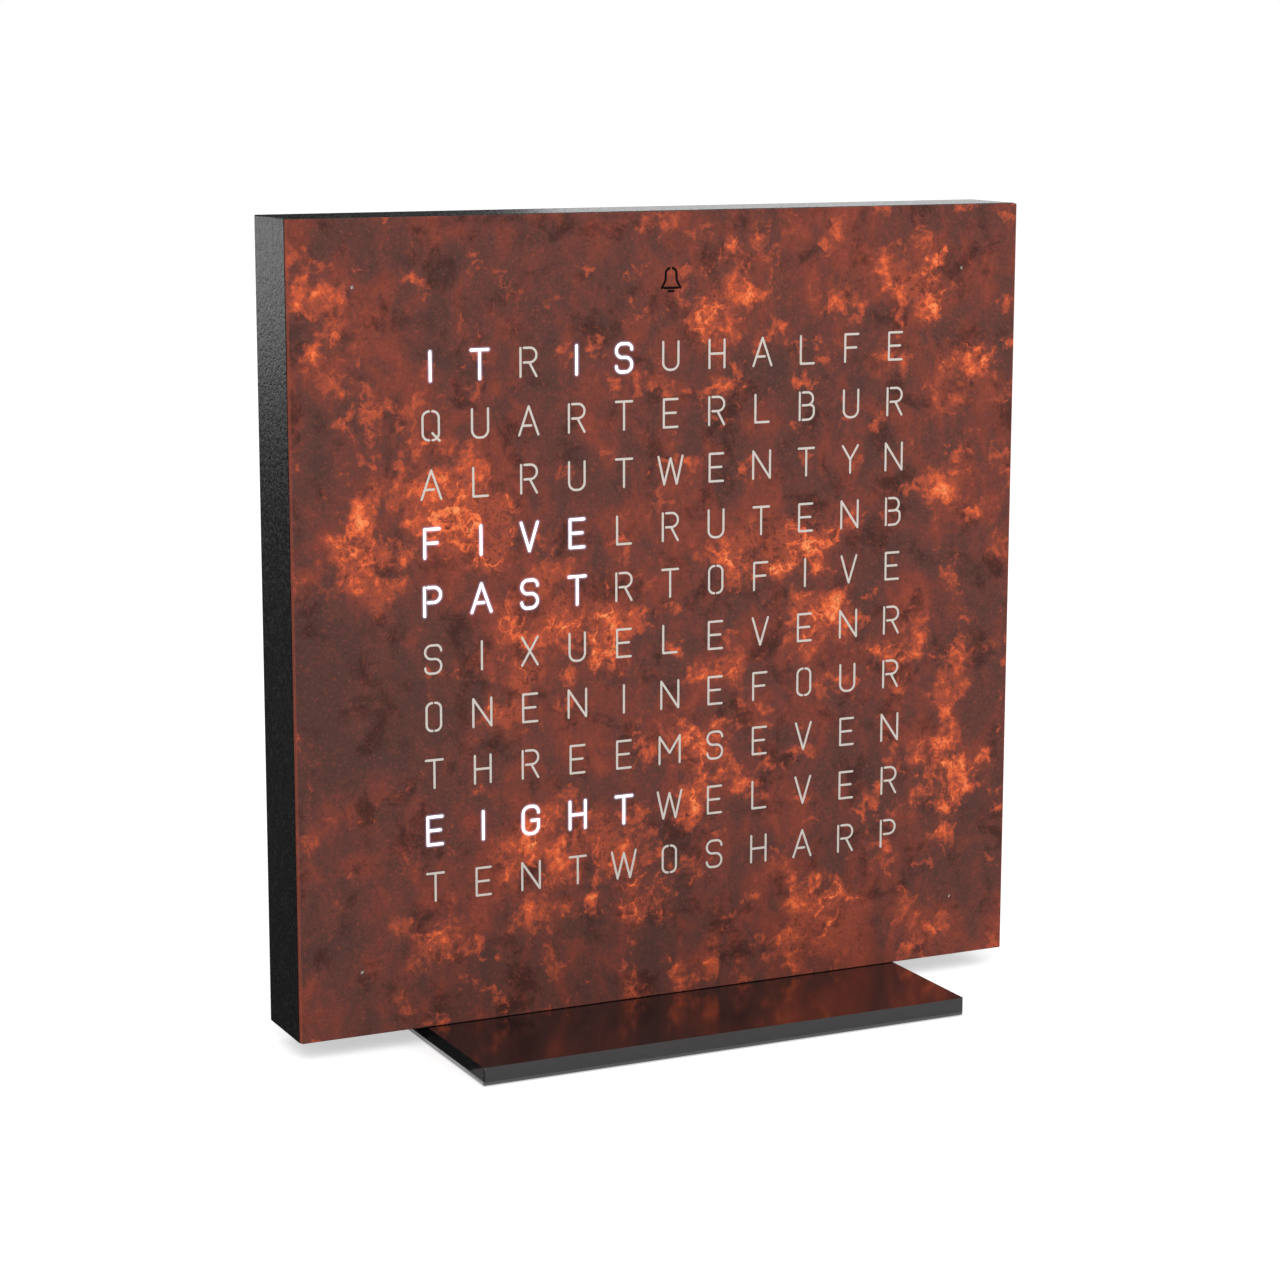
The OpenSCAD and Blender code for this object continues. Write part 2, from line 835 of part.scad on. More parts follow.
// Cap with a dished top, a flange behind the rear cover and a stalk down to its switch
module button_cap(index) {
    stalk_d = 2.6;
    cap_back = back + cap_proud;
    edge = 0.3;
    dish_rim = 0.5;
    dish_r = (pow(cap_d / 2 - dish_rim, 2) + pow(dish_depth, 2)) / (2 * dish_depth);
    color(satin_black)
        difference() {
            translate([button_x(index), plunger_back, panel_mid + button_mid])
                rotate([-90, 0, 0])
                    rotate_extrude()
                        polygon([
                            [0, 0],
                            [stalk_d / 2, 0],
                            [stalk_d / 2, flange_back - flange_t - plunger_back],
                            [flange_d / 2, flange_back - flange_t - plunger_back],
                            [flange_d / 2, flange_back - plunger_back],
                            [cap_d / 2, flange_back - plunger_back],
                            [cap_d / 2, cap_back - plunger_back - edge],
                            [cap_d / 2 - edge, cap_back - plunger_back],
                            [0, cap_back - plunger_back]
                        ]);
            translate([button_x(index), cap_back + dish_r - dish_depth, panel_mid + button_mid])
                sphere(r = dish_r);
        }
}

module switch_plunger(index) {
    color(opal)
        bar(plunger_d, plunger_front, plunger_back, button_x(index), button_mid);
}

module hour_button() {
    button_cap(0);
}

module minute_button() {
    button_cap(1);
}

module alarm_button() {
    button_cap(2);
}

module light_button() {
    button_cap(3);
}

module hour_plunger() {
    switch_plunger(0);
}

module minute_plunger() {
    switch_plunger(1);
}

module alarm_plunger() {
    switch_plunger(2);
}

module light_plunger() {
    switch_plunger(3);
}

// ---------- Power socket ----------

socket_sunk = 0.1;
socket_back = back - socket_sunk;
socket_front = socket_back - socket_depth;
socket_floor = 0.6;

// Drawn metal shell, open at the rear, with a flange that is soldered to the control board
module socket_shell() {
    flange = 1;
    flange_plate_t = 0.3;
    color(steel)
        translate([0, 0, socket_mid])
            difference() {
                union() {
                    layer(socket_front, socket_back)
                        oval(socket_w, socket_h);
                    layer(control_back, control_back + flange_plate_t)
                        oval(socket_w + 2 * flange, socket_h + 2 * flange);
                }
                layer(socket_front + socket_wall, socket_back)
                    oval(socket_w - 2 * socket_wall, socket_h - 2 * socket_wall);
            }
}

// Contact tongue on the block that closes the shell's inner end
module socket_tongue() {
    inner_w = socket_w - 2 * socket_wall;
    inner_h = socket_h - 2 * socket_wall;
    tongue_t = 0.7;
    tongue_inset = 0.8;
    tongue_sunk = 0.9;
    block_back = socket_front + socket_wall + socket_floor;
    color(chip_black)
        translate([0, 0, socket_mid])
            union() {
                layer(socket_front + socket_wall, block_back)
                    oval(inner_w, inner_h);
                layer(block_back, socket_back - tongue_sunk)
                    square([inner_w - 2 * tongue_inset, tongue_t], center = true);
            }
}

// ---------- Foot ----------

module foot_pad_places() {
    for (corner = corners)
        translate([corner[0] * (foot_w / 2 - pad_inset), corner[1] * (foot_depth / 2 - pad_inset), 0])
            children();
}

module foot_plate() {
    color(satin_black)
        difference() {
            translate([0, 0, foot_bottom])
                linear_extrude(height = foot_t)
                    rounded_square(foot_w, foot_depth, foot_corner_r);
            foot_pad_places()
                translate([0, 0, foot_bottom])
                    cylinder(d = pad_d + 2 * hole_gap, h = pad_t - pad_proud);
            for (side = [-1, 1])
                translate([side * foot_screw_spread / 2, foot_boss_y, foot_bottom]) {
                    cylinder(d = foot_screw_d + 2 * hole_gap, h = foot_t);
                    cylinder(d1 = foot_head_d, d2 = foot_screw_d, h = foot_head_h);
                }
        }
}

// Countersunk screws driven up through the foot plate into the housing
module foot_screws() {
    key_d = 1.5;
    key_depth = 0.8;
    color(steel)
        for (side = [-1, 1])
            translate([side * foot_screw_spread / 2, foot_boss_y, foot_bottom])
                difference() {
                    union() {
                        cylinder(d1 = foot_head_d, d2 = foot_screw_d, h = foot_head_h);
                        cylinder(d = foot_screw_d, h = foot_screw_end - foot_bottom);
                    }
                    cylinder(d = key_d, h = key_depth, $fn = 6);
                }
}

module foot_inserts() {
    color("#c9a227")
        for (side = [-1, 1])
            translate([side * foot_screw_spread / 2, foot_boss_y, panel_bottom + wall])
                difference() {
                    cylinder(d = insert_d, h = insert_l);
                    cylinder(d = foot_screw_d, h = insert_l);
                }
}

module foot_pads() {
    color(rubber_grey)
        foot_pad_places()
            cylinder(d = pad_d, h = pad_t);
}

front_cover();
cover_backing();
diffuser_sheet();
cover_magnets();
light_grid();
light_board();
light_diodes();
light_board_screws();
diode_driver_chips();
board_connector();
touch_strip();
touch_tail();
housing_frame();
rear_cover();
rear_cover_screws();
control_board();
control_board_screws();
processor_chip();
clock_crystal();
supply_capacitors();
coin_cell_holder();
coin_cell();
alarm_buzzer();
switch_bodies();
hour_button();
hour_plunger();
minute_button();
minute_plunger();
alarm_button();
alarm_plunger();
light_button();
light_plunger();
socket_shell();
socket_tongue();
foot_plate();
foot_screws();
foot_inserts();
foot_pads();
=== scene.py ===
"""Word clock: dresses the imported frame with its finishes, cut letters, signs and small fasteners.

The frame's own axes are kept: +Z is up, +X is to the reader's right and the lettered face looks along -Y.
Sizes are millimetres unless a docstring says metres; MM turns them into the frame's metres.
"""
import logging
import math
from collections.abc import Callable
from dataclasses import dataclass
from enum import Enum
from functools import cached_property

import bmesh
import bpy
from bmesh.types import BMesh, BMVert
from bpy.types import Material, Node, NodeSocket, NodeTree, Object
from mathutils import Matrix, Vector
from mathutils.geometry import delaunay_2d_cdt


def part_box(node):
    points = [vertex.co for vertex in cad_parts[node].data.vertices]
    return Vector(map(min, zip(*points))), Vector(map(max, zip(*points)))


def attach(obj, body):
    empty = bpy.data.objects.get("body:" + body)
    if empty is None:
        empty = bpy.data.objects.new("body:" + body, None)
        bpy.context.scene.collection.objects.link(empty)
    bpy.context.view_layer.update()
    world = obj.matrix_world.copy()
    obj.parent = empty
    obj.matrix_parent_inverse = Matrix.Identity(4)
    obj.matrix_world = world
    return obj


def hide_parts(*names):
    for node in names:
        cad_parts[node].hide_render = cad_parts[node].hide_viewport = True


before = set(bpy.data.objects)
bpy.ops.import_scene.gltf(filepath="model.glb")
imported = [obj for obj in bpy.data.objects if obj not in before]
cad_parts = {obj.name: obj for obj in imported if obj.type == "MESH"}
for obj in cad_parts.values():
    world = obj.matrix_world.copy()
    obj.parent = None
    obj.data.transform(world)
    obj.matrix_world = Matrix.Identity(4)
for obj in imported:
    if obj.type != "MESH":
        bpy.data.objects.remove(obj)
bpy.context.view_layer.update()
LOG = logging.getLogger("word_clock")
MM = 0.001
QUARTER = math.pi / 2

Place = tuple[float, float, float]
Colour = tuple[float, float, float, float]
Span = tuple[float, float]
# A range of a pattern's values, and the shares between which a layer fades in over it
Fade = tuple[Span, Span]
# A noise pattern: size of its largest features, number of finer layers, their strength, distortion
Texture = tuple[float, ...]
# Places along a colour ramp, each with its colour
Stops = tuple[tuple[float, Colour], ...]

WHITE: Colour = (1, 1, 1, 1)


def colour(red: int, green: int, blue: int) -> Colour:
    """Turns an 8-bit display colour into the linear colour that a shader takes.

    Args:
        red: Red, 0 to 255.
        green: Green, 0 to 255.
        blue: Blue, 0 to 255.

    Returns:
        Linear red, green and blue, and an alpha of 1.
    """
    shares = [value / 255 for value in (red, green, blue)]
    linear = [share / 12.92 if share <= 0.04045 else ((share + 0.055) / 1.055) ** 2.4 for share in shares]
    return (*linear, 1.0)


def darker(base: Colour, share: float) -> Colour:
    """Scales a linear colour down."""
    return (*(channel * share for channel in base[:3]), 1.0)


class Body(Enum):
    """The moving bodies that added pieces ride on."""

    BASE = "clock_base"
    COVER = "cover"


class Slot(Enum):
    """Material slots of the record."""

    RUST = "rust_steel"
    OPAL = "opal"
    STEEL = "steel"
    BRASS = "brass"
    BLACK_PLASTIC = "black_plastic"


# Shader building

# How far a shifted pattern moves along each axis, as shares of its shift
SHIFT_SHARES: Place = (1, 0.7, 1.3)
# How far a round area's soft edge reaches, as a share of its radius
SOFT_REACH = 1.7
# The value that a noise pattern swings about
NOISE_MIDDLE = 0.5


@dataclass(frozen=True)
class Bloom:
    """A soft round area of the face, such as one where the rust has flowered."""

    across: float
    up: float
    radius: float
    strength: float


class Nodes:
    """A node tree in the making, whose patterns are read in millimetres of the frame."""

    def __init__(self, tree: NodeTree) -> None:
        """Keeps the tree."""
        self.tree = tree

    def feed(self, socket: NodeSocket, value: object) -> None:
        """Links a socket to another one, or sets it to a constant."""
        if isinstance(value, NodeSocket):
            self.tree.links.new(value, socket)
        else:
            socket.default_value = value

    def node(self, kind: str, feeds: dict[str | int, object] | None = None, **settings: object) -> Node:
        """Adds a node.

        Args:
            kind: Its type, without the word that every shader node's type starts with.
            feeds: What goes into its inputs, by their names or numbers.
            **settings: Its properties.

        Returns:
            The node.
        """
        made = self.tree.nodes.new(f"ShaderNode{kind}")
        for key, value in settings.items():
            setattr(made, key, value)
        for key, value in (feeds or {}).items():
            self.feed(made.inputs[key], value)
        return made

    def math(self, operation: str, *values: object) -> NodeSocket:
        """Adds a Math node and gives its result."""
        return self.node("Math", dict(enumerate(values)), operation=operation).outputs[0]

    def vector(self, operation: str, *values: object) -> Node:
        """Adds a Vector Math node."""
        return self.node("VectorMath", dict(enumerate(values)), operation=operation)

    def total(self, first: object, *terms: tuple[object, object]) -> object:
        """Adds other values to a first one, each times its factor."""
        for value, factor in terms:
            first = self.math("MULTIPLY_ADD", value, factor, first)
        return first

    def place(self, stretch: Place = (1, 1, 1), shift: float = 0) -> NodeSocket:
        """Gives the point's place in the frame, in millimetres.

        Args:
            stretch: Factors that squeeze a pattern along each axis.
            shift: Distance that moves the pattern, so that two patterns differ.

        Returns:
            The place, as a vector.
        """
        feeds = {"Vector": self.node("TexCoord").outputs["Object"],
                 "Scale": [factor / MM for factor in stretch],
                 "Location": [shift * share for share in SHIFT_SHARES]}
        return self.node("Mapping", feeds).outputs["Vector"]

    def noise(self, place: NodeSocket, size: float, detail: float = 4, rough: float = 0.5, warp: float = 0,
              output: str = "Fac") -> NodeSocket:
        """Adds a noise pattern.

        Args:
            place: Where the pattern is read.
            size: Size of its largest features.
            detail: Number of finer layers.
            rough: Strength of the finer layers.
            warp: Distortion of the pattern.
            output: "Fac" for a value or "Color" for three.

        Returns:
            The pattern.
        """
        feeds = {"Vector": place, "Scale": 1 / size, "Detail": detail, "Roughness": rough, "Distortion": warp}
        return self.node("TexNoise", feeds).outputs[output]

    def step(self, value: object, across: Span, between: Span = (0, 1)) -> NodeSocket:
        """Turns a value smoothly from one number to another while it runs across a range."""
        feeds = {"Value": value, "From Min": across[0], "From Max": across[1], "To Min": between[0],
                 "To Max": between[1]}
        return self.node("MapRange", feeds, interpolation_type="SMOOTHSTEP").outputs["Result"]

    def mix(self, factor: object, first: object, second: object) -> NodeSocket:
        """Mixes two colours."""
        feeds = {"Factor": factor, "A": first, "B": second}
        return self.node("Mix", feeds, data_type="RGBA").outputs["Result"]

    def ramp(self, value: NodeSocket, stops: Stops) -> NodeSocket:
        """Turns a value into a colour through a row of stops.

        Args:
            value: The value.
            stops: The stops, at least two.

        Returns:
            The colour.
        """
        made = self.node("ValToRGB", {"Fac": value})
        elements = made.color_ramp.elements
        while len(elements) < len(stops):
            elements.new(1)
        for element, (place, tint) in zip(elements, stops):
            element.position = place
            element.color = tint
        return made.outputs["Color"]

    def spots(self, place: NodeSocket, blooms: tuple[Bloom, ...]) -> NodeSocket:
        """Joins round areas of the face into one soft map.

        Args:
            place: The point's place.
            blooms: The areas.

        Returns:
            The map, 0 outside the areas and up to their strength inside.
        """
        joined: object = 0.0
        for bloom in blooms:
            gap = self.vector("DISTANCE", place, (bloom.across, 0, bloom.up)).outputs["Value"]
            spot = self.step(gap, (0, bloom.radius * SOFT_REACH), (bloom.strength, 0))
            joined = self.math("MAXIMUM", joined, spot)
        return joined

    def pushed(self, place: NodeSocket, texture: Texture, reach: float) -> NodeSocket:
        """Pushes points of the face about, so that what is drawn on them gets ragged edges.

        Args:
            place: The point's place.
            texture: The pattern of the pushes.
            reach: Distance that they push.

        Returns:
            The pushed place.
        """
        noise = self.noise(place, *texture, output="Color")
        push = self.vector("SUBTRACT", noise, [NOISE_MIDDLE] * 3).outputs["Vector"]
        return self.vector("MULTIPLY_ADD", push, (reach, 0, reach), place).outputs["Vector"]

    def seen(self) -> NodeSocket:
        """Tells which rays belong to what the camera sees, straight, mirrored or through glass.

        Returns:
            1 for those rays, 0 for light that only bounces about.
        """
        path = self.node("LightPath").outputs
        shown = self.math("MAXIMUM", path["Is Camera Ray"], path["Is Glossy Ray"])
        return self.math("MAXIMUM", shown, path["Is Transmission Ray"])


class Recipe(Nodes):
    """One material's node tree, with one Principled shader."""

    def __init__(self, name: str) -> None:
        """Makes a plain material.

        Args:
            name: The material's name.
        """
        self.material: Material = bpy.data.materials.new(name)
        self.material.use_nodes = True
        super().__init__(self.material.node_tree)
        self.shader = self.tree.nodes["Principled BSDF"]

    def set(self, **values: object) -> None:
        """Feeds the shader's sockets, named with underscores for spaces."""
        for key, value in values.items():
            self.feed(self.shader.inputs[key.replace("_", " ")], value)

    def roughen(self, pattern: NodeSocket, middle: float, across: Span, swing: Span) -> None:
        """Varies the roughness about its middle value, by a swing below and above it."""
        self.set(Roughness=self.step(pattern, across, (middle + swing[0], middle + swing[1])))

    def glow(self) -> None:
        """Lights the surface by the spill values that its mesh holds."""
        self.set(Emission_Strength=self.node("Attribute", attribute_name="spill").outputs["Fac"])

    def bump(self, height: NodeSocket, depth: float, strength: float = 1) -> None:
        """Raises the surface by a pattern from 0 to 1, whose full height is the depth."""
        feeds = {"Strength": strength, "Distance": depth * MM, "Height": height}
        self.set(Normal=self.node("Bump", feeds).outputs["Normal"])


# Finishes


@dataclass(frozen=True)
class Finish:
    """A finish, whose kind says how its fields become a shader.

    Where a kind has them, its layers are the number and strength of its grain's finer layers, its uneven
    is how its roughness follows its pattern, and its depth is that of its relief.
    """

    name: str

    def shade(self, recipe: Recipe) -> None:
        """Sets up the recipe's shader."""
        raise NotImplementedError

    def material(self) -> Material:
        """Builds the material.

        Returns:
            The material.
        """
        recipe = Recipe(self.name)
        self.shade(recipe)
        return recipe.material


@dataclass(frozen=True)
class SpecklyBlack(Finish):
    """Black plastic or coated metal with a fine, sand-like texture."""

    base: Colour = colour(18, 19, 20)
    speck: Colour = colour(38, 39, 40)
    grain: float = 0.8
    roughness: float = 0.22
    depth: float = 0.08
    coat: float = 0.0
    coat_roughness: float = 0.12
    dust: Colour = colour(14, 14, 15)
    layers: Span = (3, 0.7)
    cloud: Texture = (9, 3, 0.55)
    specks: Fade = ((0.52, 0.68), (0, 1))
    clouds: Fade = ((0.3, 0.75), (0, 0.3))
    uneven: Fade = ((0.35, 0.65), (-0.08, 0.08))

    def shade(self, recipe: Recipe) -> None:
        """Scatters specks and faint clouds over the base.

        Args:
            recipe: The material being built.
        """
        place = recipe.place()
        grain = recipe.noise(place, self.grain, *self.layers)
        speckled = recipe.mix(recipe.step(grain, *self.specks), self.base, self.speck)
        dusty = recipe.step(recipe.noise(place, *self.cloud), *self.clouds)
        recipe.set(Base_Color=recipe.mix(dusty, speckled, self.dust), Coat_Weight=self.coat,
                   Coat_Roughness=self.coat_roughness)
        recipe.roughen(grain, self.roughness, *self.uneven)
        recipe.bump(grain, self.depth)


@dataclass(frozen=True)
class RustPatina(Finish):
    """Mottled rust patina on a steel sheet, with a glow where lit letters spill light on it."""

    name: str = "rust_patina"
    half_width: float = 67.4
    glow: Colour = (0.74, 0.72, 1.0, 1.0)
    specular: float = 0.12
    roughness: float = 0.6
    depth: float = 0.04
    bump_strength: float = 0.6
    char: Colour = colour(62, 34, 29)
    blush: Colour = colour(147, 70, 54)
    clay: Colour = colour(170, 80, 56)
    ember: Colour = colour(212, 92, 56)
    browns: Stops = ((0.39, colour(84, 54, 49)), (0.48, colour(100, 58, 51)), (0.56, colour(126, 62, 50)),
                     (0.64, blush))
    flames: Stops = ((0.55, blush), (0.62, clay), (0.66, ember), (0.71, colour(240, 114, 66)),
                     (0.81, colour(255, 152, 94)))
    blooms: tuple[Bloom, ...] = (
        Bloom(-59, 126, 10, 0.65), Bloom(-56, 107, 7, 0.55), Bloom(-43, 95, 9, 0.95), Bloom(-36, 88, 9, 1.1),
        Bloom(-57, 83, 9, 1.0), Bloom(-38, 117, 4, 1.0), Bloom(-16, 119, 5, 0.9), Bloom(-22, 71, 8, 1.0),
        Bloom(-12, 69, 9, 1.1), Bloom(-2, 72, 7, 0.9), Bloom(-29, 59, 10, 0.9), Bloom(34, 122, 8, 1.0),
        Bloom(48, 123, 9, 1.1), Bloom(43, 106, 7, 1.0), Bloom(54, 110, 8, 1.1), Bloom(53, 90, 7, 1.1),
        Bloom(63, 86, 6, 1.1), Bloom(23, 82, 10, 0.9), Bloom(27, 66, 9, 0.8), Bloom(40, 59, 8, 0.8),
        Bloom(58, 57, 8, 1.0), Bloom(54, 38, 10, 0.7), Bloom(-24, 31, 10, 0.85), Bloom(-46, 16, 9, 1.0),
        Bloom(29, 13, 10, 0.75), Bloom(50, 12, 9, 0.5), Bloom(-65, 42, 6, 1.0), Bloom(7, 43, 9, 0.8),
        Bloom(-30, 8, 6, 0.9), Bloom(-18, 7, 6, 1.1), Bloom(-6, 6, 5, 0.9), Bloom(7, 8, 7, 1.1),
        Bloom(18, 6, 6, 1.1), Bloom(38, 7, 6, 0.9), Bloom(9, 124, 10, 0.6), Bloom(9, 61, 8, 0.8),
        Bloom(-9, 28, 9, 1.0), Bloom(8, 79, 7, 0.7), Bloom(10, 108, 8, 0.5),
    )
    calms: tuple[Bloom, ...] = (
        Bloom(-52, 58, 20, 1.2), Bloom(-60, 20, 15, 1.3), Bloom(-43, 124, 9, 0.9), Bloom(-2, 18, 7, 0.6),
        Bloom(-25, 105, 11, 0.8), Bloom(60, 72, 9, 0.7), Bloom(-12, 120, 8, 0.5), Bloom(-8, 48, 8, 0.4),
        Bloom(56, 12, 9, 0.6),
    )
    # Patterns that push points about, with the distance that they push
    drift: tuple[Texture, float] = ((14, 4, 0.62), 34)
    tear: tuple[Texture, float] = ((4, 4, 0.62), 5)
    # Patterns, from the widest to the finest
    cloud: Texture = (24, 6, 0.62, 0.6)
    curl: Texture = (15, 3, 0.5)
    soot: Texture = (8, 7, 0.7, 0.3)
    mottle: Texture = (5, 6, 0.64, 0.5)
    flake: Texture = (5, 7, 0.66)
    hole: Texture = (1.5, 3, 0.6)
    crumb: Texture = (0.9, 4, 0.7)
    fleck: Texture = (0.45, 2, 0.5)
    # Shares that the patterns and maps have in the browns, in the warm tone and in the open rust
    brown_shares: Place = (0.5, 0.5, -0.11)
    flower_calm: float = -0.6
    flake_warmth: float = 1.6
    rust_start: float = -0.03
    rust_flower: float = 0.25
    rust_calm: float = -0.09
    fray: float = 0.2
    fray_flower: float = 0.3
    # How the mottle is squeezed upwards, and how far it and the soot are moved off the other patterns
    mottle_stretch: Place = (1, 1, 0.6)
    mottle_shift: float = 31
    soot_shift: float = 57
    # How the roughness varies and how each layer fades in
    uneven: Fade = ((0.35, 0.65), (-0.1, 0.1))
    threading: Span = (0.05, 0.5)
    holing: Span = (0.15, 0.7)
    pitting: Fade = ((0, 0.6), (0.25, 0.6))
    sooty: Fade = ((0.50, 0.66), (0, 0.85))
    warm: Fade = ((0.85, 1.4), (0, 0.45))
    warmer: Fade = ((1.1, 1.2), (0, 0.5))
    rusted: Fade = ((0.54, 0.60), (0, 1))
    holed: Fade = ((0.56, 0.64), (0, 0.75))
    # Painted highlight: a lighter clay band along the sheet's left and right edges, where the edges catch the
    # light
    edge_highlight: Fade = ((half_width - 0.25, half_width - 0.1), (0, 0.4))
    pitted: Fade = ((0.55, 0.7), (0, 1))
    glinting: Fade = ((0.42, 0.26), (0, 0.16))
    veined: Fade = ((0, 0.022), (0.13, 0))

    def ground(self, recipe: Recipe, place: NodeSocket, calm: NodeSocket) -> NodeSocket:
        """Mixes the dull browns that cover most of the sheet.

        Args:
            recipe: The material being built.
            place: The point's place.
            calm: Map of where the sheet stays dark, 1, or reddens, below 0.

        Returns:
            The colour.
        """
        cloud = recipe.noise(place, *self.cloud)
        mottle = recipe.noise(recipe.place(self.mottle_stretch, self.mottle_shift), *self.mottle)
        shade = recipe.total(0.0, *zip((cloud, mottle, calm), self.brown_shares))
        soot = recipe.noise(recipe.place(shift=self.soot_shift), *self.soot)
        return recipe.mix(recipe.step(soot, *self.sooty), recipe.ramp(shade, self.browns), self.char)

    def reach(self, recipe: Recipe, flake: NodeSocket, crumb: NodeSocket, flowering: NodeSocket,
              vein: NodeSocket) -> NodeSocket:
        """Tells how far the bright rust has opened.

        Args:
            recipe: The material being built.
            flake: Pattern of the flakes.
            crumb: Fine pattern that frays the flakes' edges.
            flowering: Map of where the rust has flowered.
            vein: Thin winding lines of rust.

        Returns:
            The value that the flames' ramp is read by, before the calm areas are taken off it.
        """
        crumbs = recipe.math("SUBTRACT", crumb, NOISE_MIDDLE)
        fray = recipe.total(self.fray, (flowering, self.fray_flower))
        threads = recipe.step(flowering, self.threading)
        return recipe.total(self.rust_start, (flake, 1), (flowering, self.rust_flower), (crumbs, fray),
                            (vein, threads))

    def shade(self, recipe: Recipe) -> None:
        """Lays bright flakes, holes, a painted highlight along the left and right edges and flecks over the
        browns.

        Args:
            recipe: The material being built.
        """
        place = recipe.place()
        ragged = recipe.pushed(place, *self.drift)
        flowering = recipe.spots(ragged, self.blooms)
        calm = recipe.spots(ragged, self.calms)
        flake = recipe.noise(recipe.pushed(place, *self.tear), *self.flake)
        crumb = recipe.noise(place, *self.crumb)
        fleck = recipe.noise(place, *self.fleck)
        curl = recipe.math("SUBTRACT", recipe.noise(ragged, *self.curl), NOISE_MIDDLE)
        vein = recipe.step(recipe.math("ABSOLUTE", curl), *self.veined)
        reach = self.reach(recipe, flake, crumb, flowering, vein)
        reach = recipe.total(reach, (calm, self.rust_calm))
        warmth = recipe.total(flowering, (flake, self.flake_warmth))
        holes = recipe.step(recipe.noise(place, *self.hole), *self.holed)
        holes = recipe.math("MULTIPLY", holes, recipe.step(flowering, self.holing))
        pits = recipe.step(fleck, *self.pitted)
        pits = recipe.math("MULTIPLY", pits, recipe.step(flowering, *self.pitting))
        apart = recipe.node("SeparateXYZ", {"Vector": place}).outputs["X"]
        base = self.ground(recipe, place, recipe.total(calm, (flowering, self.flower_calm)))
        for share, tint in ((recipe.step(warmth, *self.warm), self.clay),
                            (recipe.step(warmth, *self.warmer), self.clay),
                            (recipe.step(reach, *self.rusted), recipe.ramp(reach, self.flames)),
                            (holes, self.char),
                            # painted highlight along the left and right edges
                            (recipe.step(recipe.math("ABSOLUTE", apart), *self.edge_highlight), self.clay),
                            (pits, self.char),
                            (recipe.step(fleck, *self.glinting), self.ember)):
            base = recipe.mix(share, base, tint)
        recipe.set(Base_Color=base, Emission_Color=self.glow, Specular_IOR_Level=self.specular)
        recipe.roughen(crumb, self.roughness, *self.uneven)
        recipe.glow()
        recipe.bump(crumb, self.depth, self.bump_strength)


@dataclass(frozen=True)
class Opal(Finish):
    """Milky resin or acrylic, dull when its lamp is off and white when it is on."""

    base: Colour
    light: float = 0.0
    spilled: bool = False
    roughness: float = 0.4
    light_colour: Colour = (0.97, 0.97, 1.0, 1.0)
    scatter: float = 0.15
    scatter_reach: float = 0.4
    hazed: float = 0.9
    haze: Texture = (1.1, 3, 0.5)
    skin: Texture = (0.3, 2)
    depth: float = 0.002

    def shade(self, recipe: Recipe) -> None:
        """Clouds the base and lights it.

        Args:
            recipe: The material being built.
        """
        place = recipe.place()
        haze = recipe.noise(place, *self.haze)
        recipe.set(Base_Color=recipe.mix(haze, darker(self.base, self.hazed), self.base),
                   Roughness=self.roughness, Subsurface_Weight=self.scatter,
                   Subsurface_Scale=self.scatter_reach * MM, Emission_Color=self.light_colour,
                   Emission_Strength=self.light)
        if self.spilled:
            recipe.glow()
        recipe.bump(recipe.noise(place, *self.skin), self.depth)


@dataclass(frozen=True)
class Plated(Finish):
    """Bare or plated metal with fine turning or rolling marks."""

    base: Colour
    roughness: float = 0.3
    stretch: Place = (1, 1, 1)
    marks: Texture = (0.35, 4, 0.6)
    cloud: Texture = (3, 4)
    tarnish: float = 0.72
    dulled: Fade = ((0.3, 0.7), (0, 0.5))
    uneven: Fade = ((0.3, 0.7), (-0.06, 0.1))
    depth: float = 0.006

    def shade(self, recipe: Recipe) -> None:
        """Dulls the metal in clouds and marks it.

        Args:
            recipe: The material being built.
        """
        marks = recipe.noise(recipe.place(self.stretch), *self.marks)
        dull = recipe.step(recipe.noise(recipe.place(), *self.cloud), *self.dulled)
        recipe.set(Base_Color=recipe.mix(dull, self.base, darker(self.base, self.tarnish)), Metallic=1.0)
        recipe.roughen(marks, self.roughness, *self.uneven)
        recipe.bump(marks, self.depth)


@dataclass(frozen=True)
class Moulded(Finish):
    """Epoxy, rubber, ink or plain plastic with a faint cloudy skin."""

    base: Colour
    roughness: float = 0.6
    grain: float = 0.3
    specular: float = 0.5
    layers: Span = (3, 0.6)
    clouded: float = 0.8
    uneven: Fade = ((0.3, 0.7), (-0.05, 0.08))
    depth: float = 0.008

    def shade(self, recipe: Recipe) -> None:
        """Clouds the base with its grain.

        Args:
            recipe: The material being built.
        """
        grain = recipe.noise(recipe.place(), self.grain, *self.layers)
        recipe.set(Base_Color=recipe.mix(grain, darker(self.base, self.clouded), self.base),
                   Specular_IOR_Level=self.specular)
        recipe.roughen(grain, self.roughness, *self.uneven)
        recipe.bump(grain, self.depth)


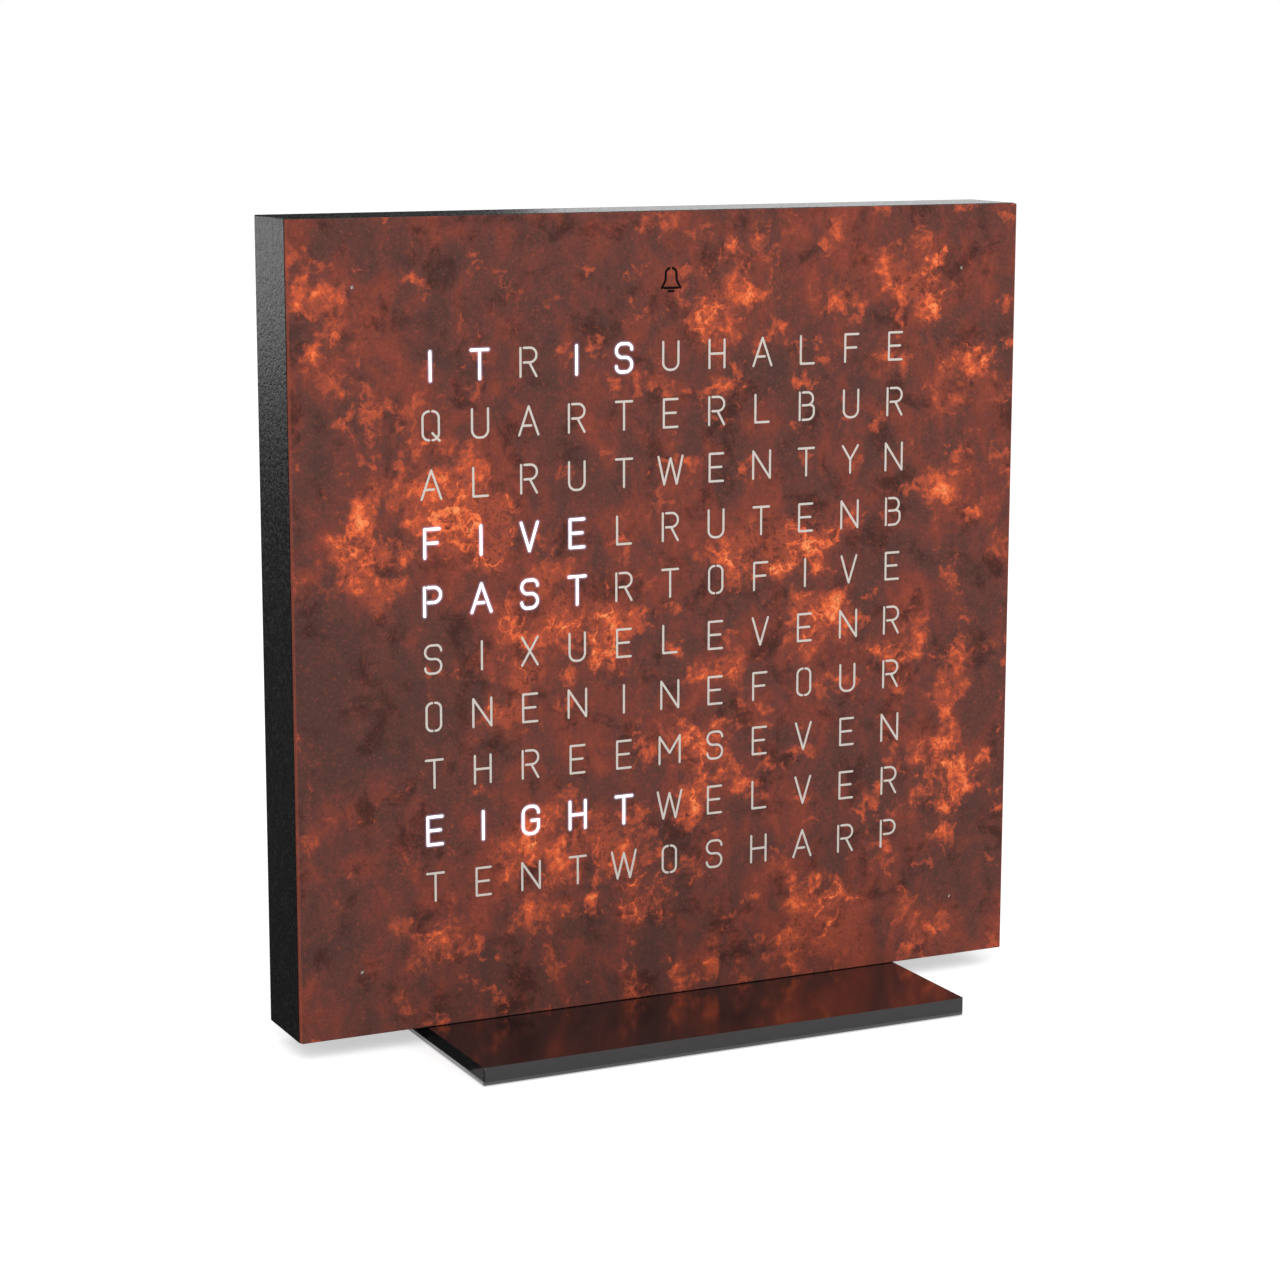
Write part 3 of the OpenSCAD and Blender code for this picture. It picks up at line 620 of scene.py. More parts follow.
@dataclass(frozen=True)
class CircuitMask(Finish):
    """Solder mask with faint tracks showing through it."""

    base: Colour
    track: Colour
    roughness: float = 0.35
    width: float = 0.09
    length: float = 2.6
    pitch: float = 0.9
    shift: float = 0.35
    cloud: Texture = (6, 2)
    covered: Fade = ((0.45, 0.55), (0, 1))
    depth: float = 0.02

    def shade(self, recipe: Recipe) -> None:
        """Draws upright rows of tracks where a cloud lets them through.

        Args:
            recipe: The material being built.
        """
        place = recipe.place()
        turned = recipe.node("VectorRotate", {"Vector": place, "Angle": QUARTER}, rotation_type="X_AXIS")
        feeds = {"Vector": turned.outputs["Vector"], "Scale": 1.0, "Mortar Size": self.width,
                 "Brick Width": self.length, "Row Height": self.pitch}
        tracks = recipe.node("TexBrick", feeds, offset=self.shift).outputs["Fac"]
        lines = recipe.math("MULTIPLY", tracks, recipe.step(recipe.noise(place, *self.cloud), *self.covered))
        recipe.set(Base_Color=recipe.mix(lines, self.base, self.track), Roughness=self.roughness)
        recipe.bump(lines, self.depth)


@dataclass(frozen=True)
class StudioFloor(Finish):
    """Pale floor that keeps the clock's shadow and reads as white behind it."""

    base: Colour
    lift: float = 0.52
    roughness: float = 0.9

    def shade(self, recipe: Recipe) -> None:
        """Lifts the floor towards white where it is seen."""
        lift = recipe.math("MULTIPLY", recipe.seen(), self.lift)
        recipe.set(Base_Color=self.base, Roughness=self.roughness, Specular_IOR_Level=0.0,
                   Emission_Color=WHITE, Emission_Strength=lift)


class Look(Enum):
    """Every finish on the clock and in the studio."""

    HOUSING = SpecklyBlack("satin_black_plastic")
    FOOT = SpecklyBlack("satin_black_coating", colour(15, 15, 16), colour(30, 30, 31), 0.4, 0.17, 0.003, 1.0)
    CAPS = SpecklyBlack("cap_plastic", colour(34, 35, 37), colour(60, 61, 63), 0.25, 0.42, 0.008)
    PATINA = RustPatina()
    LIT = Opal("lit_fill", colour(250, 250, 255), 1.6)
    UNLIT = Opal("unlit_fill", colour(214, 205, 196))
    SIGN = Moulded("dark_sign_fill", colour(10, 6, 6), 0.7, specular=0.05)
    BACKING = Opal("opal_backing", colour(232, 228, 218))
    DIFFUSER = Opal("diffuser_sheet_white", colour(238, 238, 234), spilled=True)
    STEEL = Plated("zinc_plated_steel", colour(172, 175, 178), 0.34)
    TIN = Plated("tinned_legs", colour(206, 208, 210), 0.24)
    NICKEL = Plated("nickel_plate", colour(196, 194, 188), 0.26)
    COPPER = Plated("bare_copper", colour(205, 128, 88))
    BRASS = Plated("turned_brass", colour(206, 170, 92), 0.28, (1, 1, 6))
    GOLD = Plated("gold_contacts", colour(226, 188, 104), 0.22)
    EPOXY = Moulded("chip_epoxy", colour(34, 34, 36), 0.55)
    TANTALUM = Moulded("capacitor_epoxy", colour(196, 140, 62), 0.45)
    RUBBER = Moulded("pad_rubber", colour(40, 40, 41), 0.8, 0.5)
    GRID = Moulded("baffle_black", colour(28, 28, 29), 0.75)
    DIODE = Opal("diode_lens", colour(244, 226, 140))
    DIODE_BODY = Moulded("diode_body", colour(232, 230, 222), 0.5)
    MARK = Moulded("chip_mark", colour(150, 150, 148))
    LIGHT_BOARD = CircuitMask("white_solder_mask", colour(232, 232, 226), colour(206, 208, 200))
    CONTROL_BOARD = CircuitMask("green_solder_mask", colour(26, 88, 58), colour(44, 118, 78))
    FLOOR = StudioFloor("studio_floor", colour(236, 236, 236))
    FLAG = Moulded("flag_cloth", colour(12, 12, 12), 0.95, 2)
    CARD = Moulded("pale_card", colour(250, 250, 250), 0.95, 2)

    @cached_property
    def material(self) -> Material:
        """Builds the finish's material when it is first asked for."""
        return self.value.material()


# Letters

ROUND = True
Corner = tuple[float, float] | tuple[float, float, bool]
Path = tuple[Corner, ...]
Line = list[Vector]
# A flat area, as the numbers of the points round it
Cell = list[int]
ARC_STEPS = 7
CAP_STEPS = 6
# Gap that keeps a letter's middle joined to the sheet, as a share of half its width
BRIDGE = 0.42
# Height of a letter's middle bar
WAIST = 0.02


@dataclass(frozen=True)
class Glyph:
    """A letter drawn as thin strokes in a box from -1 to 1 each way; a corner marked ROUND is round."""

    paths: tuple[Path, ...]
    half_width: float = 1.42


def bowl(low: float, right: float = 1.0) -> Path:
    """Draws a round bowl from a letter's top down to a height, cut short of the stem."""
    return ((BRIDGE - 1, 1), (right, 1, ROUND), (right, low, ROUND), (BRIDGE - 1, low))


def bar(right: float) -> Path:
    """Draws a bar from the stem at mid height."""
    return ((-1, WAIST), (right, WAIST))


STEM: Path = ((-1, -1), (-1, 1))
RING: tuple[Path, ...] = tuple(
    ((side * BRIDGE / 2, 1), (side, 1, ROUND), (side, -1, ROUND), (side * BRIDGE / 2, -1))
    for side in (-1, 1))
ALPHABET: dict[str, Glyph] = {
    "A": Glyph((((-1, -1), (0, 1), (1, -1)), ((-0.67, -0.34), (0.26, -0.34))), 1.72),
    "B": Glyph((STEM, bowl(0.06, 0.86),
                ((0.5, 0.06), (1, 0.06, ROUND), (1, -1, ROUND), (BRIDGE - 1, -1))), 1.38),
    "E": Glyph((((1, 1), (-1, 1), (-1, -1), (1, -1)), bar(0.74)), 1.28),
    "F": Glyph((((1, 1), (-1, 1), (-1, -1)), bar(0.7)), 1.28),
    "G": Glyph((((1, 0.52), (1, 1, ROUND), (-1, 1, ROUND), (-1, -1, ROUND), (1, -1, ROUND), (1, -0.04),
                 (0.12, -0.04)),)),
    "H": Glyph((STEM, ((1, -1), (1, 1)), bar(1))),
    "I": Glyph((((0, -1), (0, 1)),), 0),
    "L": Glyph((((-1, 1), (-1, -1), (1, -1)),), 1.28),
    "M": Glyph((((-1, -1), (-1, 1), (0, -0.22), (1, 1), (1, -1)),), 1.92),
    "N": Glyph((((-1, -1), (-1, 1), (1, -1), (1, 1)),), 1.62),
    "O": Glyph(RING, 1.28),
    "P": Glyph((STEM, bowl(-0.06))),
    "Q": Glyph((*RING, ((0.2, -0.52), (1.08, -1.06)))),
    "R": Glyph((STEM, bowl(-0.02), ((0.1, -0.02), (1, -1)))),
    "S": Glyph((((1, 0.6), (1, 1, ROUND), (-1, 1, ROUND), (-1, 0.03, ROUND), (1, 0.03, ROUND), (1, -1, ROUND),
                 (-1, -1, ROUND), (-1, -0.6)),)),
    "T": Glyph((((-1, 1), (1, 1)), ((0, 1), (0, -1))), 1.5),
    "U": Glyph((((-1, 1), (-1, -1, ROUND), (1, -1, ROUND), (1, 1)),)),
    "V": Glyph((((-1, 1), (0, -1), (1, 1)),), 1.48),
    "W": Glyph((((-1, 1), (-0.52, -1), (0, 0.86), (0.52, -1), (1, 1)),), 2.26),
    "X": Glyph((((-1, 1), (1, -1)), ((-1, -1), (1, 1)))),
    "Y": Glyph((((-1, 1), (0, -0.02), (1, 1)), ((0, -0.02), (0, -1))), 1.5),
}
BELL: tuple[Path, ...] = tuple(
    ((side * 0.16, 0.88), (side * 0.56, 0.72, ROUND), (side * 0.6, -0.1), (side, -0.72))
    for side in (-1, 1))
ALARM_SIGN = Glyph((*BELL, ((-0.74, -0.72), (0.74, -0.72)), ((-0.26, -0.98), (0.26, -0.98))), 1.72)


def arc(middle: Vector, radius: float, start: float, sweep: float, steps: int) -> Line:
    """Walks along a circle.

    Args:
        middle: The circle's middle.
        radius: Its radius.
        start: Angle where the walk starts.
        sweep: Angle that it turns through, against the clock.
        steps: Number of equal steps.

    Returns:
        The points, from first to last.
    """
    angles = [start + sweep * step / steps for step in range(steps + 1)]
    return [middle + Vector((math.cos(angle), math.sin(angle))) * radius for angle in angles]


def circle(middle: Vector, radius: float, steps: int) -> Line:
    """Gives a whole circle's points."""
    return arc(middle, radius, 0, math.tau, steps)[:-1]


@dataclass
class Stroke:
    """One smooth run of a letter's line, with round ends, placed on the face."""

    line: Line
    radius: float

    def outline(self, grow: float = 0.0) -> Line:
        """Gives the stroke's closed outline, walked round once.

        Args:
            grow: How much wider than the stroke the outline lies on each side.

        Returns:
            The outline's points.
        """
        reach = self.radius + grow
        points: Line = []
        for line in (self.line, self.line[::-1]):
            ways = [(end - start).normalized() for start, end in zip(line, line[1:])]
            for point, before, after in zip(line, ways[:1] + ways, ways):
                across = before.orthogonal() + after.orthogonal()
                points.append(point - across.normalized() * reach)
            heading = math.atan2(ways[-1].y, ways[-1].x)
            points += arc(line[-1], reach, heading - QUARTER, math.pi, CAP_STEPS)
        return points

    def gap(self, point: Vector, limit: float) -> float:
        """Measures from the stroke's edge to a point.

        Args:
            point: The point on the face.
            limit: Distance beyond which the exact value doesn't matter.

        Returns:
            The distance, or the limit where the point is farther.
        """
        near = self.radius + limit
        nearest = near
        for start, end in zip(self.line, self.line[1:]):
            if min(start.x, end.x) - near < point.x < max(start.x, end.x) + near:
                run = end - start
                share = max(0.0, min(1.0, (point - start).dot(run) / run.length_squared))
                nearest = min(nearest, (start + run * share - point).length)
        return nearest - self.radius


@dataclass(frozen=True)
class Pen:
    """Draws glyphs as strokes on the face; its bowl is the largest radius of a round corner."""

    half_height: float = 2.35
    width: float = 0.41
    bowl: float = 1.25
    least_straight: float = 0.03

    def strokes(self, glyph: Glyph, centre: Vector) -> list[Stroke]:
        """Draws a whole glyph."""
        size = Vector((glyph.half_width, self.half_height))
        return [Stroke(run, self.width / 2) for path in glyph.paths for run in self.runs(path, size, centre)]

    def runs(self, path: Path, size: Vector, centre: Vector) -> list[Line]:
        """Splits a path at its sharp corners and rounds the others.

        Args:
            path: The path's corners.
            size: Half the glyph's width and height.
            centre: Middle of the glyph on the face.

        Returns:
            The smooth runs, each a list of points.
        """
        spots = [centre + Vector(corner[:2]) * size for corner in path]
        rounded = [len(corner) == 3 for corner in path]
        runs = [spots[:1]]
        for index in range(1, len(spots) - 1):
            if rounded[index]:
                runs[-1] += self.bend(spots[index - 1:index + 2], (rounded[index - 1], rounded[index + 1]))
            else:
                runs[-1].append(spots[index])
                runs.append([spots[index]])
        runs[-1].append(spots[-1])
        return runs

    def bend(self, corners: Line, shared: tuple[bool, bool]) -> Line:
        """Rounds a corner with an arc.

        Args:
            corners: The corner between the ones before and after it.
            shared: Whether the corners before and after it are round too.

        Returns:
            Points along the arc.
        """
        before, corner, after = corners
        sides = (before - corner, after - corner)
        half = sides[0].angle(sides[1]) / 2
        room = min(side.length * (0.5 if both else 1) for side, both in zip(sides, shared))
        cut = min(self.bowl / math.tan(half), room - self.least_straight)
        radius = cut * math.tan(half)
        inward, outward = (side.normalized() for side in sides)
        middle = corner + (inward + outward).normalized() * radius / math.sin(half)
        start, end = (corner + way * cut - middle for way in (inward, outward))
        return arc(middle, radius, math.atan2(start.y, start.x), -start.angle_signed(end), ARC_STEPS)


# Meshes


def box(node: str) -> tuple[Vector, Vector]:
    """Gives a node's lowest and highest corners, in millimetres."""
    low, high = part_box(node)
    return low / MM, high / MM


def flat_cells(outlines: list[Line], snap: float) -> tuple[Line, list[Cell], list[Cell]]:
    """Splits the flat area inside closed outlines along all of them.

    Args:
        outlines: The outlines, which may cross.
        snap: Distance below which two points are one.

    Returns:
        The points, the cells as lists of point numbers, and the outlines that hold each cell.
    """
    points = [point for outline in outlines for point in outline]
    numbers = iter(range(len(points)))
    faces = [[next(numbers) for _ in outline] for outline in outlines]
    flat, _, cells, _, _, holders = delaunay_2d_cdt(points, [], faces, 1, snap, True)
    return flat, cells, holders


def stitch(shape: BMesh, near: list[BMVert], far: list[BMVert]) -> None:
    """Joins two rows of vertices with a strip of faces."""
    for corners in zip(near, near[1:], far[1:], far):
        shape.faces.new(corners)


def closed(row: list[BMVert] | Cell) -> list[BMVert] | Cell:
    """Ends a row of vertices or point numbers with its first one."""
    return row + row[:1]


def show(name: str, shape: BMesh, look: Look) -> Object:
    """Puts a shape in the scene.

    Args:
        name: The object's name.
        shape: Its shape, in metres of the frame, which is used up.
        look: Its finish.

    Returns:
        The object.
    """
    bmesh.ops.recalc_face_normals(shape, faces=shape.faces)
    mesh = bpy.data.meshes.new(name)
    shape.to_mesh(mesh)
    shape.free()
    mesh.materials.append(look.material)
    shown = bpy.data.objects.new(name, mesh)
    bpy.context.scene.collection.objects.link(shown)
    return shown


def add_piece(name: str, shape: BMesh, look: Look, body: Body) -> Object:
    """Adds a piece of the clock.

    Args:
        name: The piece's name.
        shape: Its shape, in metres of the frame.
        look: Its finish.
        body: The body that it moves with.

    Returns:
        The object.
    """
    piece = show(name, shape, look)
    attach(piece, body.value)
    return piece


def set_spill(piece: Object, levels: list[float]) -> None:
    """Stores how brightly each of a piece's vertices glows."""
    piece.data.attributes.new("spill", "FLOAT", "POINT").data.foreach_set("value", levels)


# Sub-assemblies


@dataclass
class PlainNodes:
    """The frame's own nodes, whose shapes stay, with their finishes and rounded edges."""

    # Heights of the chips' legs, of other components' terminals and of the coin cell's clip
    leg: float = 0.21
    terminal: float = 0.61
    clip: float = 0.31
    # A face that leans less than this to the front or back is a side
    lean: float = 0.5
    # Edges that turn by more than this angle, in degrees, are rounded in this many steps
    edge_angle: float = 40.0
    edge_steps: int = 2
    weld: float = 0.002
    # Finish, radius of the rounded edges and the nodes that get them
    plan: tuple[tuple[Look, float, str], ...] = (
        (Look.BACKING, 0, "cover_backing"),
        (Look.DIFFUSER, 0, "diffuser_sheet"),
        (Look.GRID, 0, "light_grid"),
        (Look.LIGHT_BOARD, 0, "light_board"),
        (Look.CONTROL_BOARD, 0, "control_board"),
        (Look.DIODE, 0, "light_diodes"),
        (Look.COPPER, 0, "touch_strip touch_tail"),
        (Look.EPOXY, 0, "diode_driver_chips processor_chip board_connector"),
        (Look.EPOXY, 0, "hour_plunger minute_plunger alarm_plunger light_plunger"),
        (Look.EPOXY, 0.05, "socket_tongue"),
        (Look.EPOXY, 0.1, "coin_cell_holder"),
        (Look.EPOXY, 0.2, "alarm_buzzer"),
        (Look.TANTALUM, 0.1, "supply_capacitors"),
        (Look.NICKEL, 0.05, "switch_bodies"),
        (Look.NICKEL, 0.06, "socket_shell"),
        (Look.NICKEL, 0.1, "coin_cell"),
        (Look.NICKEL, 0.2, "cover_magnets"),
        (Look.NICKEL, 0.3, "clock_crystal"),
        (Look.CAPS, 0.08, "hour_button minute_button alarm_button light_button"),
        (Look.HOUSING, 0.1, "housing_frame rear_cover"),
        (Look.FOOT, 0.12, "foot_plate"),
        (Look.STEEL, 0.1, "foot_screws"),
        (Look.BRASS, 0.1, "foot_inserts"),
        (Look.RUBBER, 0.2, "foot_pads"),
    )

    def build(self) -> list[Object]:
        """Dresses every node that no other piece replaces.

        Returns:
            The nodes' objects.
        """
        pieces = [self.dress(node, look, rounding)
                  for look, rounding, nodes in self.plan for node in nodes.split()]
        self.paint_details()
        return pieces

    def dress(self, node: str, look: Look, rounding: float) -> Object:
        """Gives a node its finish and its rounded edges.

        Args:
            node: The node's name.
            look: The finish.
            rounding: Radius of the rounded edges, or 0 for sharp ones.

        Returns:
            The node's object.
        """
        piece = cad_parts[node]
        piece.data.materials.clear()
        piece.data.materials.append(look.material)
        if rounding:
            piece.modifiers.new("weld", "WELD").merge_threshold = self.weld * MM
            bevel = piece.modifiers.new("edges", "BEVEL")
            bevel.width = rounding * MM
            bevel.segments = self.edge_steps
            bevel.limit_method = "ANGLE"
            bevel.angle_limit = math.radians(self.edge_angle)
        return piece

    def paint(self, node: str, look: Look, chosen: Callable[[Vector, Vector], bool]) -> None:
        """Gives some faces of a node a second finish.

        Args:
            node: The node's name.
            look: The second finish.
            chosen: Tells from a face's middle and its normal whether it gets that finish.
        """
        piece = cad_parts[node]
        piece.data.materials.append(look.material)
        for face in piece.data.polygons:
            if chosen(piece.matrix_world @ face.center / MM, face.normal):
                face.material_index = len(piece.data.materials) - 1

    def paint_details(self) -> None:
        """Tins the legs and terminals and parts the metal of small components from their plastic."""
        for node, height in (("diode_driver_chips", self.leg), ("processor_chip", self.leg),
                             ("board_connector", self.terminal), ("supply_capacitors", self.terminal)):
            self.paint(node, Look.TIN, lambda spot, normal, end=box(node)[0].y + height: spot.y < end)
        seat = box("switch_bodies")[0].y + self.terminal
        self.paint("switch_bodies", Look.EPOXY,
                   lambda spot, normal: spot.y > seat and abs(normal.y) < self.lean)
        crest = box("coin_cell_holder")[1].y - self.clip
        self.paint("coin_cell_holder", Look.NICKEL, lambda spot, normal: spot.y > crest)
        self.paint("light_diodes", Look.DIODE_BODY, lambda spot, normal: abs(normal.y) < self.lean)


@dataclass
class FaceSheet:
    """The front cover with its cut letters, alarm sign and minute windows, and their opal fillings."""

    rows: tuple[str, ...] = (
        "ITRISUHALFE",
        "QUARTERLBUR",
        "ALRUTWENTYN",
        "FIVELRUTENB",
        "PASTRTOFIVE",
        "SIXUELEVENR",
        "ONENINEFOUR",
        "THREEMSEVEN",
        "EIGHTWELVER",
        "TENTWOSHARP",
    )
    # Row and first and last column of each word that is shown
    words: tuple[tuple[int, int, int], ...] = ((0, 0, 1), (0, 3, 4), (3, 0, 3), (4, 0, 3), (8, 0, 4))
    column_pitch: float = 8.67
    row_pitch: float = 9.64
    sign_rise: float = 12.8
    window_edge: float = 11.0
    window_radius: float = 0.35
    window_steps: int = 16
    corner: float = 0.2
    corner_steps: int = 4
    edge: float = 0.06
    fill_sunk: float = 0.02
    window_sunk: float = 0.35
    # How far light spills round the lit letters, how bright, and where the mesh has rings for it
    spill_reach: float = 0.36
    spill_level: float = 0.6
    spill_rings: Span = (0.4, 1.0)
    snap: float = 1e-4
    rim_slack: float = 1e-3
    pen: Pen = Pen()
    sign_pen: Pen = Pen(2.05, 0.42, 0.7)

    def __post_init__(self) -> None:
        """Reads the sheet's place from the frame."""
        low, high = box("front_cover")
        self.front, self.back = low.y, high.y
        self.side = high.x - low.x
        self.middle = (low.z + high.z) / 2
        walls = box("housing_frame")
        self.panel = walls[1].x - walls[0].x
        self.lit = [(row, column) for row, first, last in self.words for column in range(first, last + 1)]

    def centre(self, row: int, column: int) -> Vector:
        """Gives a cell's middle on the face."""
        return Vector(((column - (len(self.rows[0]) - 1) / 2) * self.column_pitch,
                       ((len(self.rows) - 1) / 2 - row) * self.row_pitch))

    def stand(self, point: Vector, depth: float) -> Vector:
        """Gives a face point's place in the frame, in metres, at a depth along Y."""
        return Vector((point.x, depth, self.middle + point.y)) * MM

    def letter_strokes(self, lit: bool) -> list[Stroke]:
        """Draws every letter that is lit, or every one that isn't."""
        return [stroke for row, text in enumerate(self.rows) for column, letter in enumerate(text)
                if ((row, column) in self.lit) == lit
                for stroke in self.pen.strokes(ALPHABET[letter], self.centre(row, column))]

    def sign_strokes(self) -> list[Stroke]:
        """Draws the alarm sign above the letters."""
        rise = (len(self.rows) - 1) / 2 * self.row_pitch + self.sign_rise
        return self.sign_pen.strokes(ALARM_SIGN, Vector((0, rise)))

    def window_outlines(self) -> list[Line]:
        """Gives the four minute windows' outlines."""
        reach = self.panel / 2 - self.window_edge
        return [circle(Vector((across, up)), self.window_radius, self.window_steps)
                for across in (-reach, reach) for up in (-reach, reach)]

    def outline(self, inset: float) -> Line:
        """Gives the sheet's round-cornered outline.

        Args:
            inset: How far it is drawn in.

        Returns:
            The outline's points.
        """
        half = self.side / 2 - self.corner
        points: Line = []
        for turn, signs in enumerate(((1, 1), (-1, 1), (-1, -1), (1, -1))):
            middle = Vector(signs) * half
            points += arc(middle, self.corner - inset, QUARTER * turn, QUARTER, self.corner_steps)
        return points

    def on_rim(self, point: Vector) -> bool:
        """Tells whether a point lies on the outline that is drawn in by the broken edge.

        Args:
            point: The point on the face.

        Returns:
            Whether it lies there.
        """
        half = self.side / 2 - self.corner
        beyond = Vector((abs(point.x) - half, abs(point.y) - half))
        outside = Vector((max(beyond.x, 0), max(beyond.y, 0))).length
        return abs(outside + min(max(beyond.x, beyond.y), 0) - (self.corner - self.edge)) < self.rim_slack

    def build(self) -> list[Object]:
        """Cuts the sheet into metal and fillings, and gives each its thickness.

        Returns:
            The sheet and its four fillings.
        """
        lit = self.letter_strokes(True)
        kinds: dict[str, list[Line]] = {
            "sheet": [self.outline(self.edge)],
            "lit_letters": [stroke.outline() for stroke in lit],
            "unlit_letters": [stroke.outline() for stroke in self.letter_strokes(False)],
            "alarm_sign": [stroke.outline() for stroke in self.sign_strokes()],
            "minute_windows": self.window_outlines(),
            "spill": [stroke.outline(self.spill_reach * share)
                      for share in self.spill_rings for stroke in lit],
        }
        owner = [kind for kind, outlines in kinds.items() for _ in outlines]
        flat, cells, holders = flat_cells(sum(kinds.values(), []), self.snap)
        fills: dict[str, tuple[Look, float]] = {
            "lit_letters": (Look.LIT, self.fill_sunk),
            "unlit_letters": (Look.UNLIT, self.fill_sunk),
            "alarm_sign": (Look.SIGN, self.fill_sunk),
            "minute_windows": (Look.UNLIT, self.window_sunk),
        }
        parts: dict[str, list[Cell]] = {kind: [] for kind in kinds}
        for cell, holder in zip(cells, holders):
            found = {owner[index] for index in holder}
            parts[next((kind for kind in fills if kind in found), "sheet")].append(cell)
        pieces = [self.make_sheet(flat, parts["sheet"], lit)]
        for kind, (look, sunk) in fills.items():
            shape = self.slab(flat, parts[kind], self.front + sunk)
            pieces.append(add_piece(kind, shape, look, Body.COVER))
        return pieces

    def slab(self, flat: Line, cells: list[Cell], front: float) -> BMesh:
        """Gives a flat pattern of cells its thickness.

        Args:
            flat: All points of the pattern.
            cells: The pattern's cells, as lists of point numbers.
            front: Depth of its front face.

        Returns:
            The shape, in metres, closed but for the sheet's outer rim.
        """
        shape = bmesh.new()
        used = sorted({index for cell in cells for index in cell})
        near, far = ({index: shape.verts.new(self.stand(flat[index], depth)) for index in used}
                     for depth in (front, self.back))
        sides: set[tuple[int, int]] = set()
        for cell in cells:
            shape.faces.new([near[index] for index in cell])
            shape.faces.new([far[index] for index in reversed(cell)])
            sides.update(zip(cell, closed(cell)[1:]))
        for start, end in sorted(sides):
            rim = self.on_rim(flat[start]) and self.on_rim(flat[end])
            if (end, start) not in sides and not rim:
                shape.faces.new([near[end], near[start], far[start], far[end]])
        return shape

    def make_sheet(self, flat: Line, cells: list[Cell], lit: list[Stroke]) -> Object:
        """Makes the metal sheet with its broken edges and the light that spills on it.

        Args:
            flat: All points of the pattern.
            cells: The cells that are metal.
            lit: The strokes that are lit.

        Returns:
            The sheet.
        """
        shape = self.slab(flat, cells, self.front)
        self.add_rim(shape)
        sheet = add_piece("front_cover_sheet", shape, Look.PATINA, Body.COVER)
        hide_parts("front_cover")
        levels: list[float] = []
        for vertex in sheet.data.vertices:
            spot = Vector((vertex.co.x / MM, vertex.co.z / MM - self.middle))
            gap = min(stroke.gap(spot, self.spill_reach) for stroke in lit)
            levels.append(self.spill_level * (1.0 - min(max(gap / self.spill_reach, 0.0), 1.0)) ** 2)
        set_spill(sheet, levels)
        return sheet

    def add_rim(self, shape: BMesh) -> None:
        """Closes the sheet with its outer rim, full size at mid depth and drawn in at both faces.

        Args:
            shape: The sheet's shape, open all round.
        """
        rings = [[shape.verts.new(self.stand(point, depth)) for point in self.outline(inset)]
                 for inset, depth in ((self.edge, self.front), (0.0, self.front + self.edge),
                                      (0.0, self.back - self.edge), (self.edge, self.back))]
        for near, far in zip(rings, rings[1:]):
            stitch(shape, closed(near), closed(far))
        bmesh.ops.remove_doubles(shape, verts=shape.verts, dist=self.snap * MM)


@dataclass
class LitCells:
    """The glow of the lit wells on the diffuser sheet, seen when the cover is off."""

    face: FaceSheet
    wall: float = 1.0
    proud: float = 0.01
    level: float = 0.85
    steps: int = 6

    def build(self) -> list[Object]:
        """Lays a patch over each lit well.

        Returns:
            The patches, as one piece.
        """
        shape = bmesh.new()
        levels = [level for cell in self.face.lit for level in self.add_patch(shape, self.face.centre(*cell))]
        piece = add_piece("lit_cells", shape, Look.DIFFUSER, Body.BASE)
        set_spill(piece, levels)
        return [piece]

    def add_patch(self, shape: BMesh, middle: Vector) -> list[float]:
        """Adds one patch, brightest at its middle.

        Args:
            shape: The shape that it is added to.
            middle: Middle of the well on the face.

        Returns:
            Brightness of each vertex.
        """
        size = Vector((self.face.column_pitch - self.wall, self.face.row_pitch - self.wall))
        depth = box("diffuser_sheet")[0].y - self.proud
        shares = [step / self.steps - 0.5 for step in range(self.steps + 1)]
        fall = [0.0, *(math.cos(share * math.pi) ** 0.5 for share in shares[1:-1]), 0.0]
        rows = [[shape.verts.new(self.face.stand(middle + Vector((across, up)) * size, depth))
                 for across in shares] for up in shares]
        for lower, upper in zip(rows, rows[1:]):
            stitch(shape, lower, upper)
        return [self.level * across * up for up in fall for across in fall]


